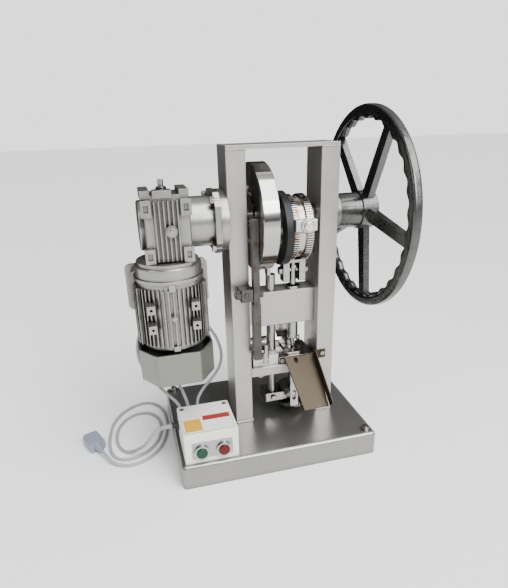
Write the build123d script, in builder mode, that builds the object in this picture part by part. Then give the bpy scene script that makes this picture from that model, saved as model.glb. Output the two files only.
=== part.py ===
from build123d import *
import math
import os

os.makedirs("parts", exist_ok=True)

# A bench single-punch tablet press. Millimetres, +X right, +Y back, +Z up, with the
# origin on the surface it stands on, below the middle of its base tray.

# Base tray
BASE_W = 400
BASE_D = 310
BASE_H = 50
SHEET = 2
BASE_CORNER_R = 8
BASE_EDGE_R = 7
BASE_RIM = 22
STUD_PLACES = [(182, -139), (-182, 139), (182, 139)]
STUD_R = 4
STUD_TOP = 60
STUD_WASHER_R = 9
STUD_WASHER_H = 1.6
STUD_NUT_FLATS = 13
STUD_NUT_H = 6.5

# Frame
LEFT_COLUMN = (-67.6, -31.6)
RIGHT_COLUMN = (111, 147)
COLUMN_Y = 38
TOP_PLATE = (603, 610)
TABLE_BEAM = (153.5, 173.5)
TABLE_TOP = 190
TABLE_LEFT = 29.6
TABLE_RIGHT = 105
TABLE_Y = 36
RISER_LEFT = -26.5
RISER_FRONT = -31
RISER_TOP = 195.5
CROSSBEAM = (256, 328.6)
CROSSBEAM_LEFT = -5
CROSSBEAM_Y = (-15, 32)
LUG_Y = (-2, 32)

# Working lines
SHAFT_Z = 478
SHAFT_R = 15
SHAFT_X = (-223, 236)
PUNCH_X = 69.5
LIFT_X = 21.8
ROD_R = 9.8
RUN_GAP = 0.05
CLEAR = 0.5

# Eccentric drive, drawn at bottom dead centre
THROW = 25
STRAP_Z = SHAFT_Z - THROW
SHEAVE_R = 44
SHEAVE = (36, 88)
STRAP_RING = (34, 49.5)
STRAP_R = 71
STRAP_SLEEVE_R = 52
TOOTHED = (49.5, 89.5)
TOOTHED_R = 64
TOOTH_DEPTH = 2.2
TOOTH_COUNT = 80
GREASE_GROOVE = (62, 77)
GREASE_GROOVE_DEPTH = 5
CLAMP = (49.8, 90)
CLAMP_Z = (459, 480)
CLAMP_FRONT = -76
FORK_LEFT = (46.5, 59)
FORK_RIGHT = (80, 92.5)
FORK_Y = 12
FORK_Z = (345, 384)
SADDLE_R = 64.3
PIN_R = 5
PIN_Z = 367
ROD_SCREW_R = 7
ROD_SCREW_BOTTOM = 335.5
ROD_NUT = (372.3, 376.8)
ROD_NUT_R = 9

# Ram and punches
STROKE = 2 * THROW
RAM_R = 11.6
RAM_NECK_R = 9.8
RAM_BOTTOM = 219
RAM_SHOULDER = 292
RAM_TOP = 333.5
RAM_BORE_R = 7.5
RAM_CUP_R = 9.3
RAM_CUP_BOTTOM = 320.5
RAM_BORE_BOTTOM = 284
PUNCH_SHANK_R = 6
PUNCH_SHANK = (222, 245)
PUNCH_TIP_R = 3.75
PUNCH_TIP_BOTTOM = 186
DIE_R = 11
DIE_BOTTOM = 168
DIE_GAP = 0.08
LOWER_PUNCH_TOP = 176
STEM_R = 10
STEM = (55, 148)
STEM_HOLE_R = 10.6

# Cam drum
DRUM = (-18.2, 12.5)
DRUM_R = 101
DRUM_RIM_INNER_R = 88
DRUM_WEB = 10.2
DRUM_HUB_R = 26
TRACK_OFFSET = 16
TRACK_R = 52
TRACK_W = 14
TRACK_DEPTH = 6

# Lift gear
LIFT_ROD = (76, 362)
BRACKET_X = (13.3, 20)
BRACKET_TOP = 412
ROLLER_X = (2, 11)
ROLLER_R = 8
ROLLER_Z = 399
YOKE_Z = (75, 94)
YOKE_Y = (-15, 29)
YOKE_X = (3, 53)
YOKE_TIP = 84
YOKE_TIP_Y = 13
LOWER_GEAR = (61.5, 68.5)
LOWER_GEAR_R = 34
UPPER_GEAR = (97, 104)
UPPER_GEAR_R = 30
GEAR_TEETH = 48
GEAR_TOOTH = 2.4
PLATE_X = (52.5, 69.5)
PLATE_Y = (-40, -35.7)
PLATE_BOTTOM = 70

# Powder feed
PIVOT_Y = -61
PIVOT_Z = 345
PIVOT_R = 5
PIVOT_BLOCK_X = (-55.5, -31.6)
PIVOT_BLOCK_Y = (-70, -38)
PIVOT_BLOCK_Z = (333, 357)
LEVER_UPPER_X = (-31, -18.8)
LEVER_LOWER_X = (-32.5, -17.5)
LEVER_Y = (-70, -53)
LEVER_Z = (209, 488)
LEVER_WAIST = 326
FOOT_TOP = 226
FOOT_BACK = -41
FEED_PIN_R = 4
FEED_PIN_Y = -50
FEED_PIN_Z = 217
NOSE = (43, 84)
NOSE_Y = (-28.5, -9)
SHOE_Z = (190.4, 194.4)
SLOT_X = (60, 79)
CHAMBER_X = (38, 82)
CHAMBER_Y = (20, 53)
CHAMBER_LOW = 205
CHAMBER_HIGH = 245
CHAMBER_CREST_Y = 45
CAVITY_Y = (23, 42)
ARM_Z = (197, 203)
ARM_Y = (41, 53)
LEG_X = (-11, 2)
LEG_FRONT = -56
POST_X = -4.5
POST_R = 6.5
POST_Z = (190.5, 231)

# Chute
CHUTE_SHEET = 1.5
CHUTE_TOP = (-36, 190)
CHUTE_BOTTOM = (-126, 115)
CHUTE_X = (45, 107)
CHUTE_WALL = 20
CHUTE_LIP = 5

# Handwheel
WHEEL_X = (211, 229)
WHEEL_R = 195
WHEEL_RIM_R = 176
SPOKE_START = 45.8
SPOKES = 5
HUB_R = 34
HUB_X = (156.6, 235)
FLANGE_END = 156

# Gear reducer
WORM_X = -183
WORM_Y = -50
GEARBOX_X = (-217, -140)
GEARBOX_Y = (-82, 50)
GEARBOX_Z = (427, 534)
NECK_R = 46
SQUARE_FLANGE_X = (-93, -82)
SQUARE_FLANGE = 110
SQUARE_CHAMFER = 22
ROUND_FLANGE_R = 57
FLANGE_BOLT = 42
COVER_R = 45
COVER_X = (-226, -217)
WHEEL_GEAR_R = 36.5
WHEEL_GEAR_X = (-196, -170)
WORM_R = 12.9
WORM_Z = (452, 504)
WORM_SHAFT_R = 9
EXTENSION_R = 5
EXTENSION_Z = (550, 562)
WORM_SHAFT_BOTTOM = 428
HEAD_X = (-221, -141)
HEAD_Y = (-82, -18)
HEAD_TOP = 548

# Motor
MOTOR_Z = (272, 394.8)
MOTOR_CORE_R = 57
MOTOR_BORE_R = 50
FIN_R = 61.5
LOBE_R = 66.5
FIN_Z = (278, 385)
FIN_T = 2.4
PAD_X = 76
PAD_Z = 36
PAD_MID_X = -185
PAD_MID_Z = 337.5
PAD_FACE = -118
PAD_HOLE_R = 2.5
PAD_HOLE_DEPTH = 10
COWL_Z = (205, 268)
COWL_SHEET = 2
COWL_R = 68
COWL_HALF = (37.5, 45.5)
COWL_EDGE_R = 5

# Motor box
MOTOR_BOX_X = (-250, -110)
MOTOR_BOX_Y = (12, 34)
MOTOR_BOX_Z = (314, 391)
MOTOR_LID_X = (-260, -99.5)
MOTOR_LID_Y = (34, 44)
MOTOR_LID_Z = (306, 399)
MOTOR_LID_R = 12
BOX_WALL = 2.5

# Control box
BOX_X = (-192, -87.5)
BOX_Y = (-146, -42)
BOX_Z = (50, 113.5)
BOX_SPLIT = 96
BOX_EDGE_R = 3
BUTTON_Z = 73.5
GREEN_X = -160
RED_X = -117.5
BEZEL_R = 15
BUTTON_R = 10.5
BUTTON_TRAVEL = 4

# Cords
CORD_R = 3.25
GLAND_R = 7
GLAND_L = 12
MAINS_EXIT = (-206, -60, 84)
PLUG_EXIT = (-352, -2, 13)
PLUG_DIR = (-0.405, 0.914, 0)
PLUG_L = 62
PLUG_R = 14


def block(x, y, z, mode=Mode.ADD):
    """A block between the two ends given along each axis."""
    with Locations((x[0], y[0], z[0])):
        Box(x[1] - x[0], y[1] - y[0], z[1] - z[0], align=(Align.MIN,) * 3, mode=mode)


def bar(start, end, radius, mode=Mode.ADD):
    """A round bar from one point to another."""
    run = Vector(*end) - Vector(*start)
    with Locations(Plane(origin=start, z_dir=run)):
        Cylinder(radius, run.length, align=(Align.CENTER, Align.CENTER, Align.MIN), mode=mode)


def bar_x(x, radius, z=SHAFT_Z, mode=Mode.ADD):
    """A round bar along X in the plane of the main shaft."""
    bar((x[0], 0, z), (x[1], 0, z), radius, mode)


def bar_z(x, y, z, radius, mode=Mode.ADD):
    """An upright round bar."""
    bar((x, y, z[0]), (x, y, z[1]), radius, mode)


def hex_bar(start, end, across_flats, mode=Mode.ADD):
    """A hexagon bar from one point to another."""
    run = Vector(*end) - Vector(*start)
    with BuildSketch(Plane(origin=start, z_dir=run)) as outline:
        RegularPolygon(across_flats / 2, 6, major_radius=False)
    extrude(outline.sketch, run.length, mode=mode)


def slotted_screw(face, outward, head_r=4.5, head_h=2.6, shank_r=2, shank_l=8):
    """A slotted screw with its head on a face and its shank behind it."""
    out = Vector(*outward)
    crown = Vector(*face) + out * head_h
    bar(tuple(Vector(*face)), tuple(crown), head_r)
    bar(tuple(Vector(*face) - out * shank_l), tuple(Vector(*face)), shank_r)
    with Locations(Plane(origin=tuple(crown), z_dir=out)):
        Box(2.2 * head_r, 0.28 * head_r, 0.8 * head_h, mode=Mode.SUBTRACT)


def cord(points, radius):
    """A cord's path through the points, each corner with as large an arc as its runs allow."""
    spots = [Vector(*p) for p in points]
    radii = []
    for before, at, after in zip(spots, spots[1:], spots[2:]):
        turn = (at - before).get_angle(after - at)
        shorter = min((at - before).length, (after - at).length)
        radii.append(0.45 * shorter / math.tan(math.radians(turn / 2)))
    with BuildPart() as tube:
        with BuildLine() as path:
            FilletPolyline(*points, radius=radii)
        route = path.wire()
        with BuildSketch(Plane(origin=route @ 0, z_dir=route % 0)) as section:
            Circle(radius)
        sweep(section.sketch, path=route)
    expected = math.pi * radius**2 * route.length
    print("cord radii", [round(r) for r in radii], "length", round(route.length))
    print("volume over section times length", round(tube.part.volume / expected, 4))
    return tube


# Base tray: a pressed tray, upside down, standing on its turned-in rim.
with BuildPart() as base_tray:
    with Locations((0, 0, BASE_H / 2)):
        Box(BASE_W, BASE_D, BASE_H)
    fillet(base_tray.edges().filter_by(Axis.Z), BASE_CORNER_R)
    fillet(base_tray.faces().sort_by(Axis.Z)[-1].edges(), BASE_EDGE_R)
    offset(amount=-SHEET, openings=base_tray.faces().sort_by(Axis.Z)[0])
    with BuildSketch(Plane.XY):
        RectangleRounded(BASE_W - SHEET, BASE_D - SHEET, BASE_CORNER_R - SHEET / 2)
        RectangleRounded(BASE_W - 2 * BASE_RIM, BASE_D - 2 * BASE_RIM, BASE_CORNER_R, mode=Mode.SUBTRACT)
    extrude(amount=SHEET)
    for stud_x, stud_y in STUD_PLACES:
        bar_z(stud_x, stud_y, (BASE_H - 2 * SHEET, BASE_H), STUD_R, Mode.SUBTRACT)
base_tray.part.label = "base_tray"
export_step(base_tray.part, "parts/base_tray.step")

# Columns: two flat bars that carry the shaft, the beams and the top plate.
# fasteners and small finishes of the frame
EDGE_BREAK = 0.8
CHUTE_SCREW = (123, -COLUMN_Y, 189)
CHUTE_SCREW_R = 2
CHUTE_SCREW_DEPTH = 8
GUIDE_BUSH_TOP = 335
GUIDE_COLLAR_R = 15
BEAM_BOLT_HEAD = 145
BEAM_BOLT_TOP = 168
BOLT_FLATS = 15
MOTOR_LID_SCREW_INSET = 13
SHAFT_BUSH_R = 36
SET_SCREW_R = 3
SLOT_CENTRE_Z = 97
SLOT_L = 24
SLOT_W = 8
BUSH_R = 20
with BuildPart() as left_column:
    block(LEFT_COLUMN, (-COLUMN_Y, COLUMN_Y), (BASE_H, TOP_PLATE[0]))
    chamfer(left_column.edges().filter_by(Axis.Z), EDGE_BREAK)
    bar_x(LEFT_COLUMN, BUSH_R, mode=Mode.SUBTRACT)
left_column.part.label = "left_column"
export_step(left_column.part, "parts/left_column.step")

with BuildPart() as right_column:
    block(RIGHT_COLUMN, (-COLUMN_Y, COLUMN_Y), (BASE_H, TOP_PLATE[0]))
    chamfer(right_column.edges().filter_by(Axis.Z), EDGE_BREAK)
    bar_x(RIGHT_COLUMN, BUSH_R, mode=Mode.SUBTRACT)
    bar(CHUTE_SCREW, Vector(CHUTE_SCREW) + Vector(0, CHUTE_SCREW_DEPTH, 0), CHUTE_SCREW_R, Mode.SUBTRACT)
right_column.part.label = "right_column"
export_step(right_column.part, "parts/right_column.step")

with BuildPart() as top_plate:
    block((LEFT_COLUMN[0], RIGHT_COLUMN[1]), (-COLUMN_Y, COLUMN_Y), TOP_PLATE)
    chamfer(top_plate.edges().filter_by(Axis.Z), EDGE_BREAK)
top_plate.part.label = "top_plate"
export_step(top_plate.part, "parts/top_plate.step")

# Crossbeam: guides the ram and the lift rod; a thinner lug reaches the left column.
GUIDE_BUSH_R = 13.6
with BuildPart() as crossbeam:
    block((CROSSBEAM_LEFT, RIGHT_COLUMN[0]), CROSSBEAM_Y, CROSSBEAM)
    chamfer(crossbeam.edges().filter_by(Axis.X), 1)
    block((LEFT_COLUMN[1], CROSSBEAM_LEFT), LUG_Y, CROSSBEAM)
    bar_z(PUNCH_X, 0, CROSSBEAM, GUIDE_BUSH_R, Mode.SUBTRACT)
    bar_z(LIFT_X, 0, CROSSBEAM, ROD_R + RUN_GAP, Mode.SUBTRACT)
crossbeam.part.label = "crossbeam"
export_step(crossbeam.part, "parts/crossbeam.step")

with BuildPart() as ram_guide_bush:
    bar_z(PUNCH_X, 0, CROSSBEAM, GUIDE_BUSH_R)
    bar_z(PUNCH_X, 0, (CROSSBEAM[1], GUIDE_BUSH_TOP), GUIDE_COLLAR_R)
    fillet(ram_guide_bush.edges().group_by(Axis.Z)[-1], EDGE_BREAK)
    bar_z(PUNCH_X, 0, (CROSSBEAM[0], GUIDE_BUSH_TOP), RAM_R + RUN_GAP, Mode.SUBTRACT)
ram_guide_bush.part.label = "ram_guide_bush"
export_step(ram_guide_bush.part, "parts/ram_guide_bush.step")

# Table: a beam between the columns, with the die table and the riser block on it.
BEAM_BOLT = (-9, -20)
BEAM_BOLT_R = 4
with BuildPart() as table_beam:
    block((LEFT_COLUMN[1], RIGHT_COLUMN[0]), (-COLUMN_Y, COLUMN_Y), TABLE_BEAM)
    chamfer(table_beam.edges().filter_by(Axis.X), EDGE_BREAK)
    bar_z(LIFT_X, 0, TABLE_BEAM, ROD_R + CLEAR, Mode.SUBTRACT)
    bar_z(PUNCH_X, 0, TABLE_BEAM, STEM_HOLE_R, Mode.SUBTRACT)
    bar_z(PUNCH_X, 0, (DIE_BOTTOM, TABLE_BEAM[1]), DIE_R, Mode.SUBTRACT)
    bar_z(*BEAM_BOLT, (TABLE_BEAM[0], BEAM_BOLT_TOP), BEAM_BOLT_R, Mode.SUBTRACT)
table_beam.part.label = "table_beam"
export_step(table_beam.part, "parts/table_beam.step")

SET_SCREW_X = 63
SET_SCREW_Z = 183
TAB_SCREW = (35.5, -TABLE_Y, 183)
with BuildPart() as die_table:
    block((TABLE_LEFT, TABLE_RIGHT), (-TABLE_Y, TABLE_Y), (TABLE_BEAM[1], TABLE_TOP))
    chamfer(die_table.edges().filter_by(Axis.Z), 2)
    bar_z(PUNCH_X, 0, (TABLE_BEAM[1], TABLE_TOP), DIE_R, Mode.SUBTRACT)
    bar_z(LIFT_X, 0, (TABLE_BEAM[1], TABLE_TOP), ROD_R + CLEAR, Mode.SUBTRACT)
    bar((SET_SCREW_X, -TABLE_Y, SET_SCREW_Z), (SET_SCREW_X, -12, SET_SCREW_Z), SET_SCREW_R, Mode.SUBTRACT)
    bar(TAB_SCREW, (TAB_SCREW[0], -TABLE_Y + 6, TAB_SCREW[2]), 2, Mode.SUBTRACT)
die_table.part.label = "die_table"
export_step(die_table.part, "parts/die_table.step")

with BuildPart() as riser_block:
    block((RISER_LEFT, TABLE_LEFT - 0.2), (RISER_FRONT, TABLE_Y), (TABLE_BEAM[1], RISER_TOP))
    chamfer(riser_block.edges().filter_by(Axis.Z), 1.5)
    bar_z(LIFT_X, 0, (TABLE_BEAM[1], RISER_TOP), ROD_R + CLEAR, Mode.SUBTRACT)
riser_block.part.label = "riser_block"
export_step(riser_block.part, "parts/riser_block.step")

with BuildPart() as die:
    bar_z(PUNCH_X, 0, (DIE_BOTTOM, TABLE_TOP), DIE_R)
    chamfer(die.edges().group_by(Axis.Z)[-1], 0.5)
    bar_z(PUNCH_X, 0, (DIE_BOTTOM, TABLE_TOP), PUNCH_TIP_R + DIE_GAP, Mode.SUBTRACT)
die.part.label = "die"
export_step(die.part, "parts/die.step")

# Fasteners of the frame, the chute and the two electrical boxes.
LID_SCREWS = [(BOX_X[0] + 9, BOX_Y[1] - 10), (BOX_X[1] - 9, BOX_Y[1] - 10)]
MOTOR_LID_SCREWS = [
    (x, z)
    for x in (MOTOR_LID_X[0] + MOTOR_LID_SCREW_INSET, MOTOR_LID_X[1] - MOTOR_LID_SCREW_INSET)
    for z in (MOTOR_LID_Z[0] + MOTOR_LID_SCREW_INSET, MOTOR_LID_Z[1] - MOTOR_LID_SCREW_INSET)
]
with BuildPart() as frame_fasteners:
    for stud_x, stud_y in STUD_PLACES:
        bar_z(stud_x, stud_y, (BASE_H - 8, STUD_TOP), STUD_R)
        bar_z(stud_x, stud_y, (BASE_H, BASE_H + STUD_WASHER_H), STUD_WASHER_R)
        nut_foot = BASE_H + STUD_WASHER_H
        hex_bar((stud_x, stud_y, nut_foot), (stud_x, stud_y, nut_foot + STUD_NUT_H), STUD_NUT_FLATS)
    hex_bar((*BEAM_BOLT, BEAM_BOLT_HEAD), (*BEAM_BOLT, TABLE_BEAM[0]), BOLT_FLATS)
    bar_z(*BEAM_BOLT, (TABLE_BEAM[0], BEAM_BOLT_TOP), BEAM_BOLT_R)
    slotted_screw((TAB_SCREW[0], -TABLE_Y - CHUTE_SHEET, TAB_SCREW[2]), (0, -1, 0), shank_l=7)
    slotted_screw(
        (CHUTE_SCREW[0], CHUTE_SCREW[1] - CHUTE_SHEET, CHUTE_SCREW[2]), (0, -1, 0), shank_l=9
    )
    bar((SET_SCREW_X, -TABLE_Y + 3, SET_SCREW_Z), (SET_SCREW_X, -13, SET_SCREW_Z), SET_SCREW_R)
    for screw_x, screw_y in LID_SCREWS:
        slotted_screw((screw_x, screw_y, BOX_Z[1] - 3), (0, 0, 1), shank_l=16)
    for screw_x, screw_z in MOTOR_LID_SCREWS:
        slotted_screw((screw_x, MOTOR_LID_Y[1], screw_z), (0, 1, 0), head_r=3.5, head_h=2, shank_l=7)
frame_fasteners.part.label = "frame_fasteners"
export_step(frame_fasteners.part, "parts/frame_fasteners.step")

# Bearings: bronze bushes in the columns, ball bearings on the motor and worm shafts.
BALL_BEARINGS = [(281, 9, 18), (398, 9, 18), (436, WORM_SHAFT_R, 16), (515, WORM_SHAFT_R, 16)]
BEARING_W = 10
with BuildPart() as shaft_bearings:
    bar_x(LEFT_COLUMN, BUSH_R)
    bar_x(RIGHT_COLUMN, BUSH_R)
    bar_x((RIGHT_COLUMN[1], FLANGE_END), SHAFT_BUSH_R)
    bar_x((LEFT_COLUMN[0], FLANGE_END), SHAFT_R + RUN_GAP, mode=Mode.SUBTRACT)
    for bearing_z, inner_r, outer_r in BALL_BEARINGS:
        with BuildSketch(Plane.XY.offset(bearing_z)):
            with Locations((WORM_X, WORM_Y)):
                Circle(outer_r)
                Circle(inner_r + RUN_GAP, mode=Mode.SUBTRACT)
        extrude(amount=BEARING_W)
shaft_bearings.part.label = "shaft_bearings"
export_step(shaft_bearings.part, "parts/shaft_bearings.step")

# Chute: a folded sheet below the die table, with a tall right wall and a low left lip.
slope = Vector(0, CHUTE_BOTTOM[0] - CHUTE_TOP[0], CHUTE_BOTTOM[1] - CHUTE_TOP[1])
CHUTE_LENGTH = slope.length
chute_plane = Plane(
    origin=(CHUTE_X[0], CHUTE_TOP[0] - CHUTE_SHEET, TABLE_TOP - 1.5),
    x_dir=(1, 0, 0),
    z_dir=slope.cross(Vector(1, 0, 0)),
)
with BuildPart() as chute:
    with BuildSketch(chute_plane):
        with BuildLine():
            Polyline(
                (-4, 0),
                (CHUTE_X[1] - CHUTE_X[0], 0),
                (CHUTE_X[1] - CHUTE_X[0] - 3, -CHUTE_LENGTH),
                (5, -CHUTE_LENGTH),
                close=True,
            )
        make_face()
    extrude(amount=-CHUTE_SHEET)
    floor_frame = chute_plane.location
    with Locations(floor_frame):
        with Locations(Location((CHUTE_X[1] - CHUTE_X[0] - 2, -CHUTE_LENGTH / 2, 0), (0, 0, 1.8))):
            Box(CHUTE_SHEET, CHUTE_LENGTH, CHUTE_WALL, align=(Align.CENTER, Align.CENTER, Align.MIN))
        with Locations(Location((0.4, -CHUTE_LENGTH / 2, 0), (0, 0, 5.6))):
            Box(CHUTE_SHEET, CHUTE_LENGTH, CHUTE_LIP, align=(Align.CENTER, Align.CENTER, Align.MIN))
    block((30.5, CHUTE_X[1]), (-TABLE_Y - CHUTE_SHEET, -TABLE_Y), (176, TABLE_TOP - 0.5))
    block((CHUTE_X[1] - 3, 130), (-COLUMN_Y - CHUTE_SHEET, -COLUMN_Y), (178, 197))
    bar((SET_SCREW_X, -60, SET_SCREW_Z), (SET_SCREW_X, -TABLE_Y, SET_SCREW_Z), 4.5, Mode.SUBTRACT)
    bar((TAB_SCREW[0], -60, TAB_SCREW[2]), TAB_SCREW, 2, Mode.SUBTRACT)
    bar((CHUTE_SCREW[0], -60, CHUTE_SCREW[2]), CHUTE_SCREW, CHUTE_SCREW_R, Mode.SUBTRACT)
chute.part.label = "chute"
export_step(chute.part, "parts/chute.step")

# Gear retaining plate: hangs from the table beam in front of the adjusting gears.
with BuildPart() as gear_retaining_plate:
    block(PLATE_X, PLATE_Y, (PLATE_BOTTOM, TABLE_BEAM[0]))
    fillet(gear_retaining_plate.edges().filter_by(Axis.Y).group_by(Axis.Z)[0], 4)
    with BuildSketch(Plane.XZ.offset(-PLATE_Y[1])):
        with Locations(((PLATE_X[0] + PLATE_X[1]) / 2, SLOT_CENTRE_Z)):
            SlotOverall(SLOT_L, SLOT_W, rotation=90)
    extrude(amount=PLATE_Y[1] - PLATE_Y[0], mode=Mode.SUBTRACT)
gear_retaining_plate.part.label = "gear_retaining_plate"
export_step(gear_retaining_plate.part, "parts/gear_retaining_plate.step")

# Lever pivot: a block on the left column's front with the stud that the lever turns on.
with BuildPart() as lever_pivot:
    block(PIVOT_BLOCK_X, PIVOT_BLOCK_Y, PIVOT_BLOCK_Z)
    chamfer(lever_pivot.edges().filter_by(Axis.Z), 1.5)
    bar((-66, PIVOT_Y, PIVOT_Z), (-12.5, PIVOT_Y, PIVOT_Z), PIVOT_R)
    hex_bar((-63, PIVOT_Y, PIVOT_Z), (PIVOT_BLOCK_X[0], PIVOT_Y, PIVOT_Z), 15)
    hex_bar((LEVER_UPPER_X[1] + CLEAR, PIVOT_Y, PIVOT_Z), (-12, PIVOT_Y, PIVOT_Z), 15)
    slotted_screw((-43, PIVOT_BLOCK_Y[0], PIVOT_Z + 1), (0, -1, 0), head_r=5.5)
lever_pivot.part.label = "lever_pivot"
export_step(lever_pivot.part, "parts/lever_pivot.step")

# Main shaft with the parts keyed to it.
with BuildPart() as main_shaft:
    bar_x(SHAFT_X, SHAFT_R)
    chamfer(main_shaft.edges(), 1.5)
main_shaft.part.label = "main_shaft"
export_step(main_shaft.part, "parts/main_shaft.step")

with BuildPart() as cam_drum:
    bar_x(DRUM, DRUM_R)
    chamfer(cam_drum.edges(), 1.2)
    bar_x((DRUM[0] + DRUM_WEB, DRUM[1]), DRUM_RIM_INNER_R, mode=Mode.SUBTRACT)
    bar_x((DRUM[0] + DRUM_WEB, DRUM[1]), DRUM_HUB_R)
    # lift lobe on the inside of the rim, opposite the rest position
    with BuildSketch(Plane.YZ.offset(DRUM[0] + DRUM_WEB)):
        with Locations((0, SHAFT_Z)):
            Circle(DRUM_RIM_INNER_R)
        with Locations((0, SHAFT_Z - 8)):
            Circle(DRUM_RIM_INNER_R - 7, mode=Mode.SUBTRACT)
    extrude(amount=8)
    # feed track, an eccentric groove in the left face
    with BuildSketch(Plane.YZ.offset(DRUM[0])):
        with Locations((TRACK_OFFSET, SHAFT_Z)):
            Circle(TRACK_R + TRACK_W / 2)
            Circle(TRACK_R - TRACK_W / 2, mode=Mode.SUBTRACT)
    extrude(amount=TRACK_DEPTH, mode=Mode.SUBTRACT)
    bar_x(DRUM, SHAFT_R, mode=Mode.SUBTRACT)
cam_drum.part.label = "cam_drum"
export_step(cam_drum.part, "parts/cam_drum.step")

with BuildPart() as eccentric_sheave:
    bar_x(SHEAVE, SHEAVE_R, STRAP_Z)
    bar_x(SHEAVE, SHAFT_R, mode=Mode.SUBTRACT)
eccentric_sheave.part.label = "eccentric_sheave"
export_step(eccentric_sheave.part, "parts/eccentric_sheave.step")

SPOKE_W = (26, 21)
SPOKE_ANGLE = 89
with BuildPart() as handwheel:
    rim_middle = (WHEEL_X[0] + WHEEL_X[1]) / 2
    with BuildSketch(Plane.XZ):
        with Locations((rim_middle, SHAFT_Z + (WHEEL_R + WHEEL_RIM_R) / 2)):
            RectangleRounded(WHEEL_X[1] - WHEEL_X[0], WHEEL_R - WHEEL_RIM_R, 5)
    revolve(axis=Axis((0, 0, SHAFT_Z), (1, 0, 0)))
    with BuildSketch(Plane.YZ.offset(WHEEL_X[0] + 2)):
        for n in range(SPOKES):
            with Locations(Location((0, SHAFT_Z, 0), (0, 0, SPOKE_START + n * 360 / SPOKES))):
                with Locations((105, 0)):
                    Trapezoid(SPOKE_W[0], WHEEL_RIM_R - 28, SPOKE_ANGLE, rotation=-90)
    extrude(amount=13)
    bar_x(HUB_X, HUB_R)
    bar_x((HUB_X[1] - 32, HUB_X[1]), HUB_R + 3)
    chamfer(handwheel.edges().filter_by(GeomType.CIRCLE).group_by(Axis.X)[-1], 1.5)
    bar_x(HUB_X, SHAFT_R, mode=Mode.SUBTRACT)
handwheel.part.label = "handwheel"
export_step(handwheel.part, "parts/handwheel.step")

WHEEL_GEAR_TEETH = 30
with BuildPart() as worm_wheel:
    bar_x(WHEEL_GEAR_X, WHEEL_GEAR_R)
    with BuildSketch(Plane.YZ.offset(WHEEL_GEAR_X[0])):
        with Locations((0, SHAFT_Z)):
            with PolarLocations(WHEEL_GEAR_R, WHEEL_GEAR_TEETH):
                Rectangle(4, 3)
    extrude(amount=WHEEL_GEAR_X[1] - WHEEL_GEAR_X[0], mode=Mode.SUBTRACT)
    bar_x((WHEEL_GEAR_X[0] - 6, WHEEL_GEAR_X[1] + 6), 22)
    bar_x((WHEEL_GEAR_X[0] - 6, WHEEL_GEAR_X[1] + 6), SHAFT_R, mode=Mode.SUBTRACT)
worm_wheel.part.label = "worm_wheel"
export_step(worm_wheel.part, "parts/worm_wheel.step")

# Eccentric strap: two rings round the sheave, a clamp block and the fork below.
with BuildPart() as strap_ring:
    bar_x(STRAP_RING, STRAP_R, STRAP_Z)
    chamfer(strap_ring.edges(), 1)
    bar_x((STRAP_RING[1], TOOTHED[1]), STRAP_SLEEVE_R, STRAP_Z)
    bar_x((STRAP_RING[0], TOOTHED[1]), SHEAVE_R + RUN_GAP, STRAP_Z, Mode.SUBTRACT)
strap_ring.part.label = "strap_ring"
export_step(strap_ring.part, "parts/strap_ring.step")

with BuildPart() as toothed_ring:
    bar_x(TOOTHED, TOOTHED_R, STRAP_Z)
    with BuildSketch(Plane.YZ.offset(TOOTHED[0])):
        with Locations((0, STRAP_Z)):
            with PolarLocations(TOOTHED_R, TOOTH_COUNT):
                Rectangle(2 * TOOTH_DEPTH, 2.4)
    extrude(amount=TOOTHED[1] - TOOTHED[0], mode=Mode.SUBTRACT)
    with BuildSketch(Plane.YZ.offset(GREASE_GROOVE[0])):
        with Locations((0, STRAP_Z)):
            Circle(TOOTHED_R + 1)
            Circle(TOOTHED_R - GREASE_GROOVE_DEPTH, mode=Mode.SUBTRACT)
    extrude(amount=GREASE_GROOVE[1] - GREASE_GROOVE[0], mode=Mode.SUBTRACT)
    bar_x(TOOTHED, STRAP_SLEEVE_R + 0.03, STRAP_Z, Mode.SUBTRACT)
toothed_ring.part.label = "toothed_ring"
export_step(toothed_ring.part, "parts/toothed_ring.step")

with BuildPart() as ring_clamp:
    block(CLAMP, (CLAMP_FRONT, -50), CLAMP_Z)
    fillet(ring_clamp.edges().filter_by(Axis.X), 2)
    bar_x(CLAMP, TOOTHED_R + 0.1, STRAP_Z, Mode.SUBTRACT)
    bar((72, CLAMP_FRONT - 5, 470), (72, CLAMP_FRONT, 470), 13)
    fillet(ring_clamp.edges().filter_by(GeomType.CIRCLE).group_by(Axis.Y)[0], 2)
ring_clamp.part.label = "ring_clamp"
export_step(ring_clamp.part, "parts/ring_clamp.step")

with BuildPart() as con_rod_fork:
    for cheek in (FORK_LEFT, FORK_RIGHT):
        block(cheek, (-FORK_Y, FORK_Y), (FORK_Z[0], FORK_Z[1] + 8))
    block((FORK_LEFT[0], FORK_RIGHT[1]), (-FORK_Y, FORK_Y), (FORK_Z[1], FORK_Z[1] + 8))
    fillet(con_rod_fork.edges().filter_by(Axis.X).group_by(Axis.Z)[0], 3)
    bar_x((FORK_LEFT[0], FORK_RIGHT[1]), SADDLE_R, STRAP_Z, Mode.SUBTRACT)
    bar_x((FORK_LEFT[0], TOOTHED[0] + 0.2), STRAP_R + 0.2, STRAP_Z, Mode.SUBTRACT)
    bar_x((FORK_LEFT[0], FORK_RIGHT[1]), PIN_R + RUN_GAP, PIN_Z, Mode.SUBTRACT)
con_rod_fork.part.label = "con_rod_fork"
export_step(con_rod_fork.part, "parts/con_rod_fork.step")

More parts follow.
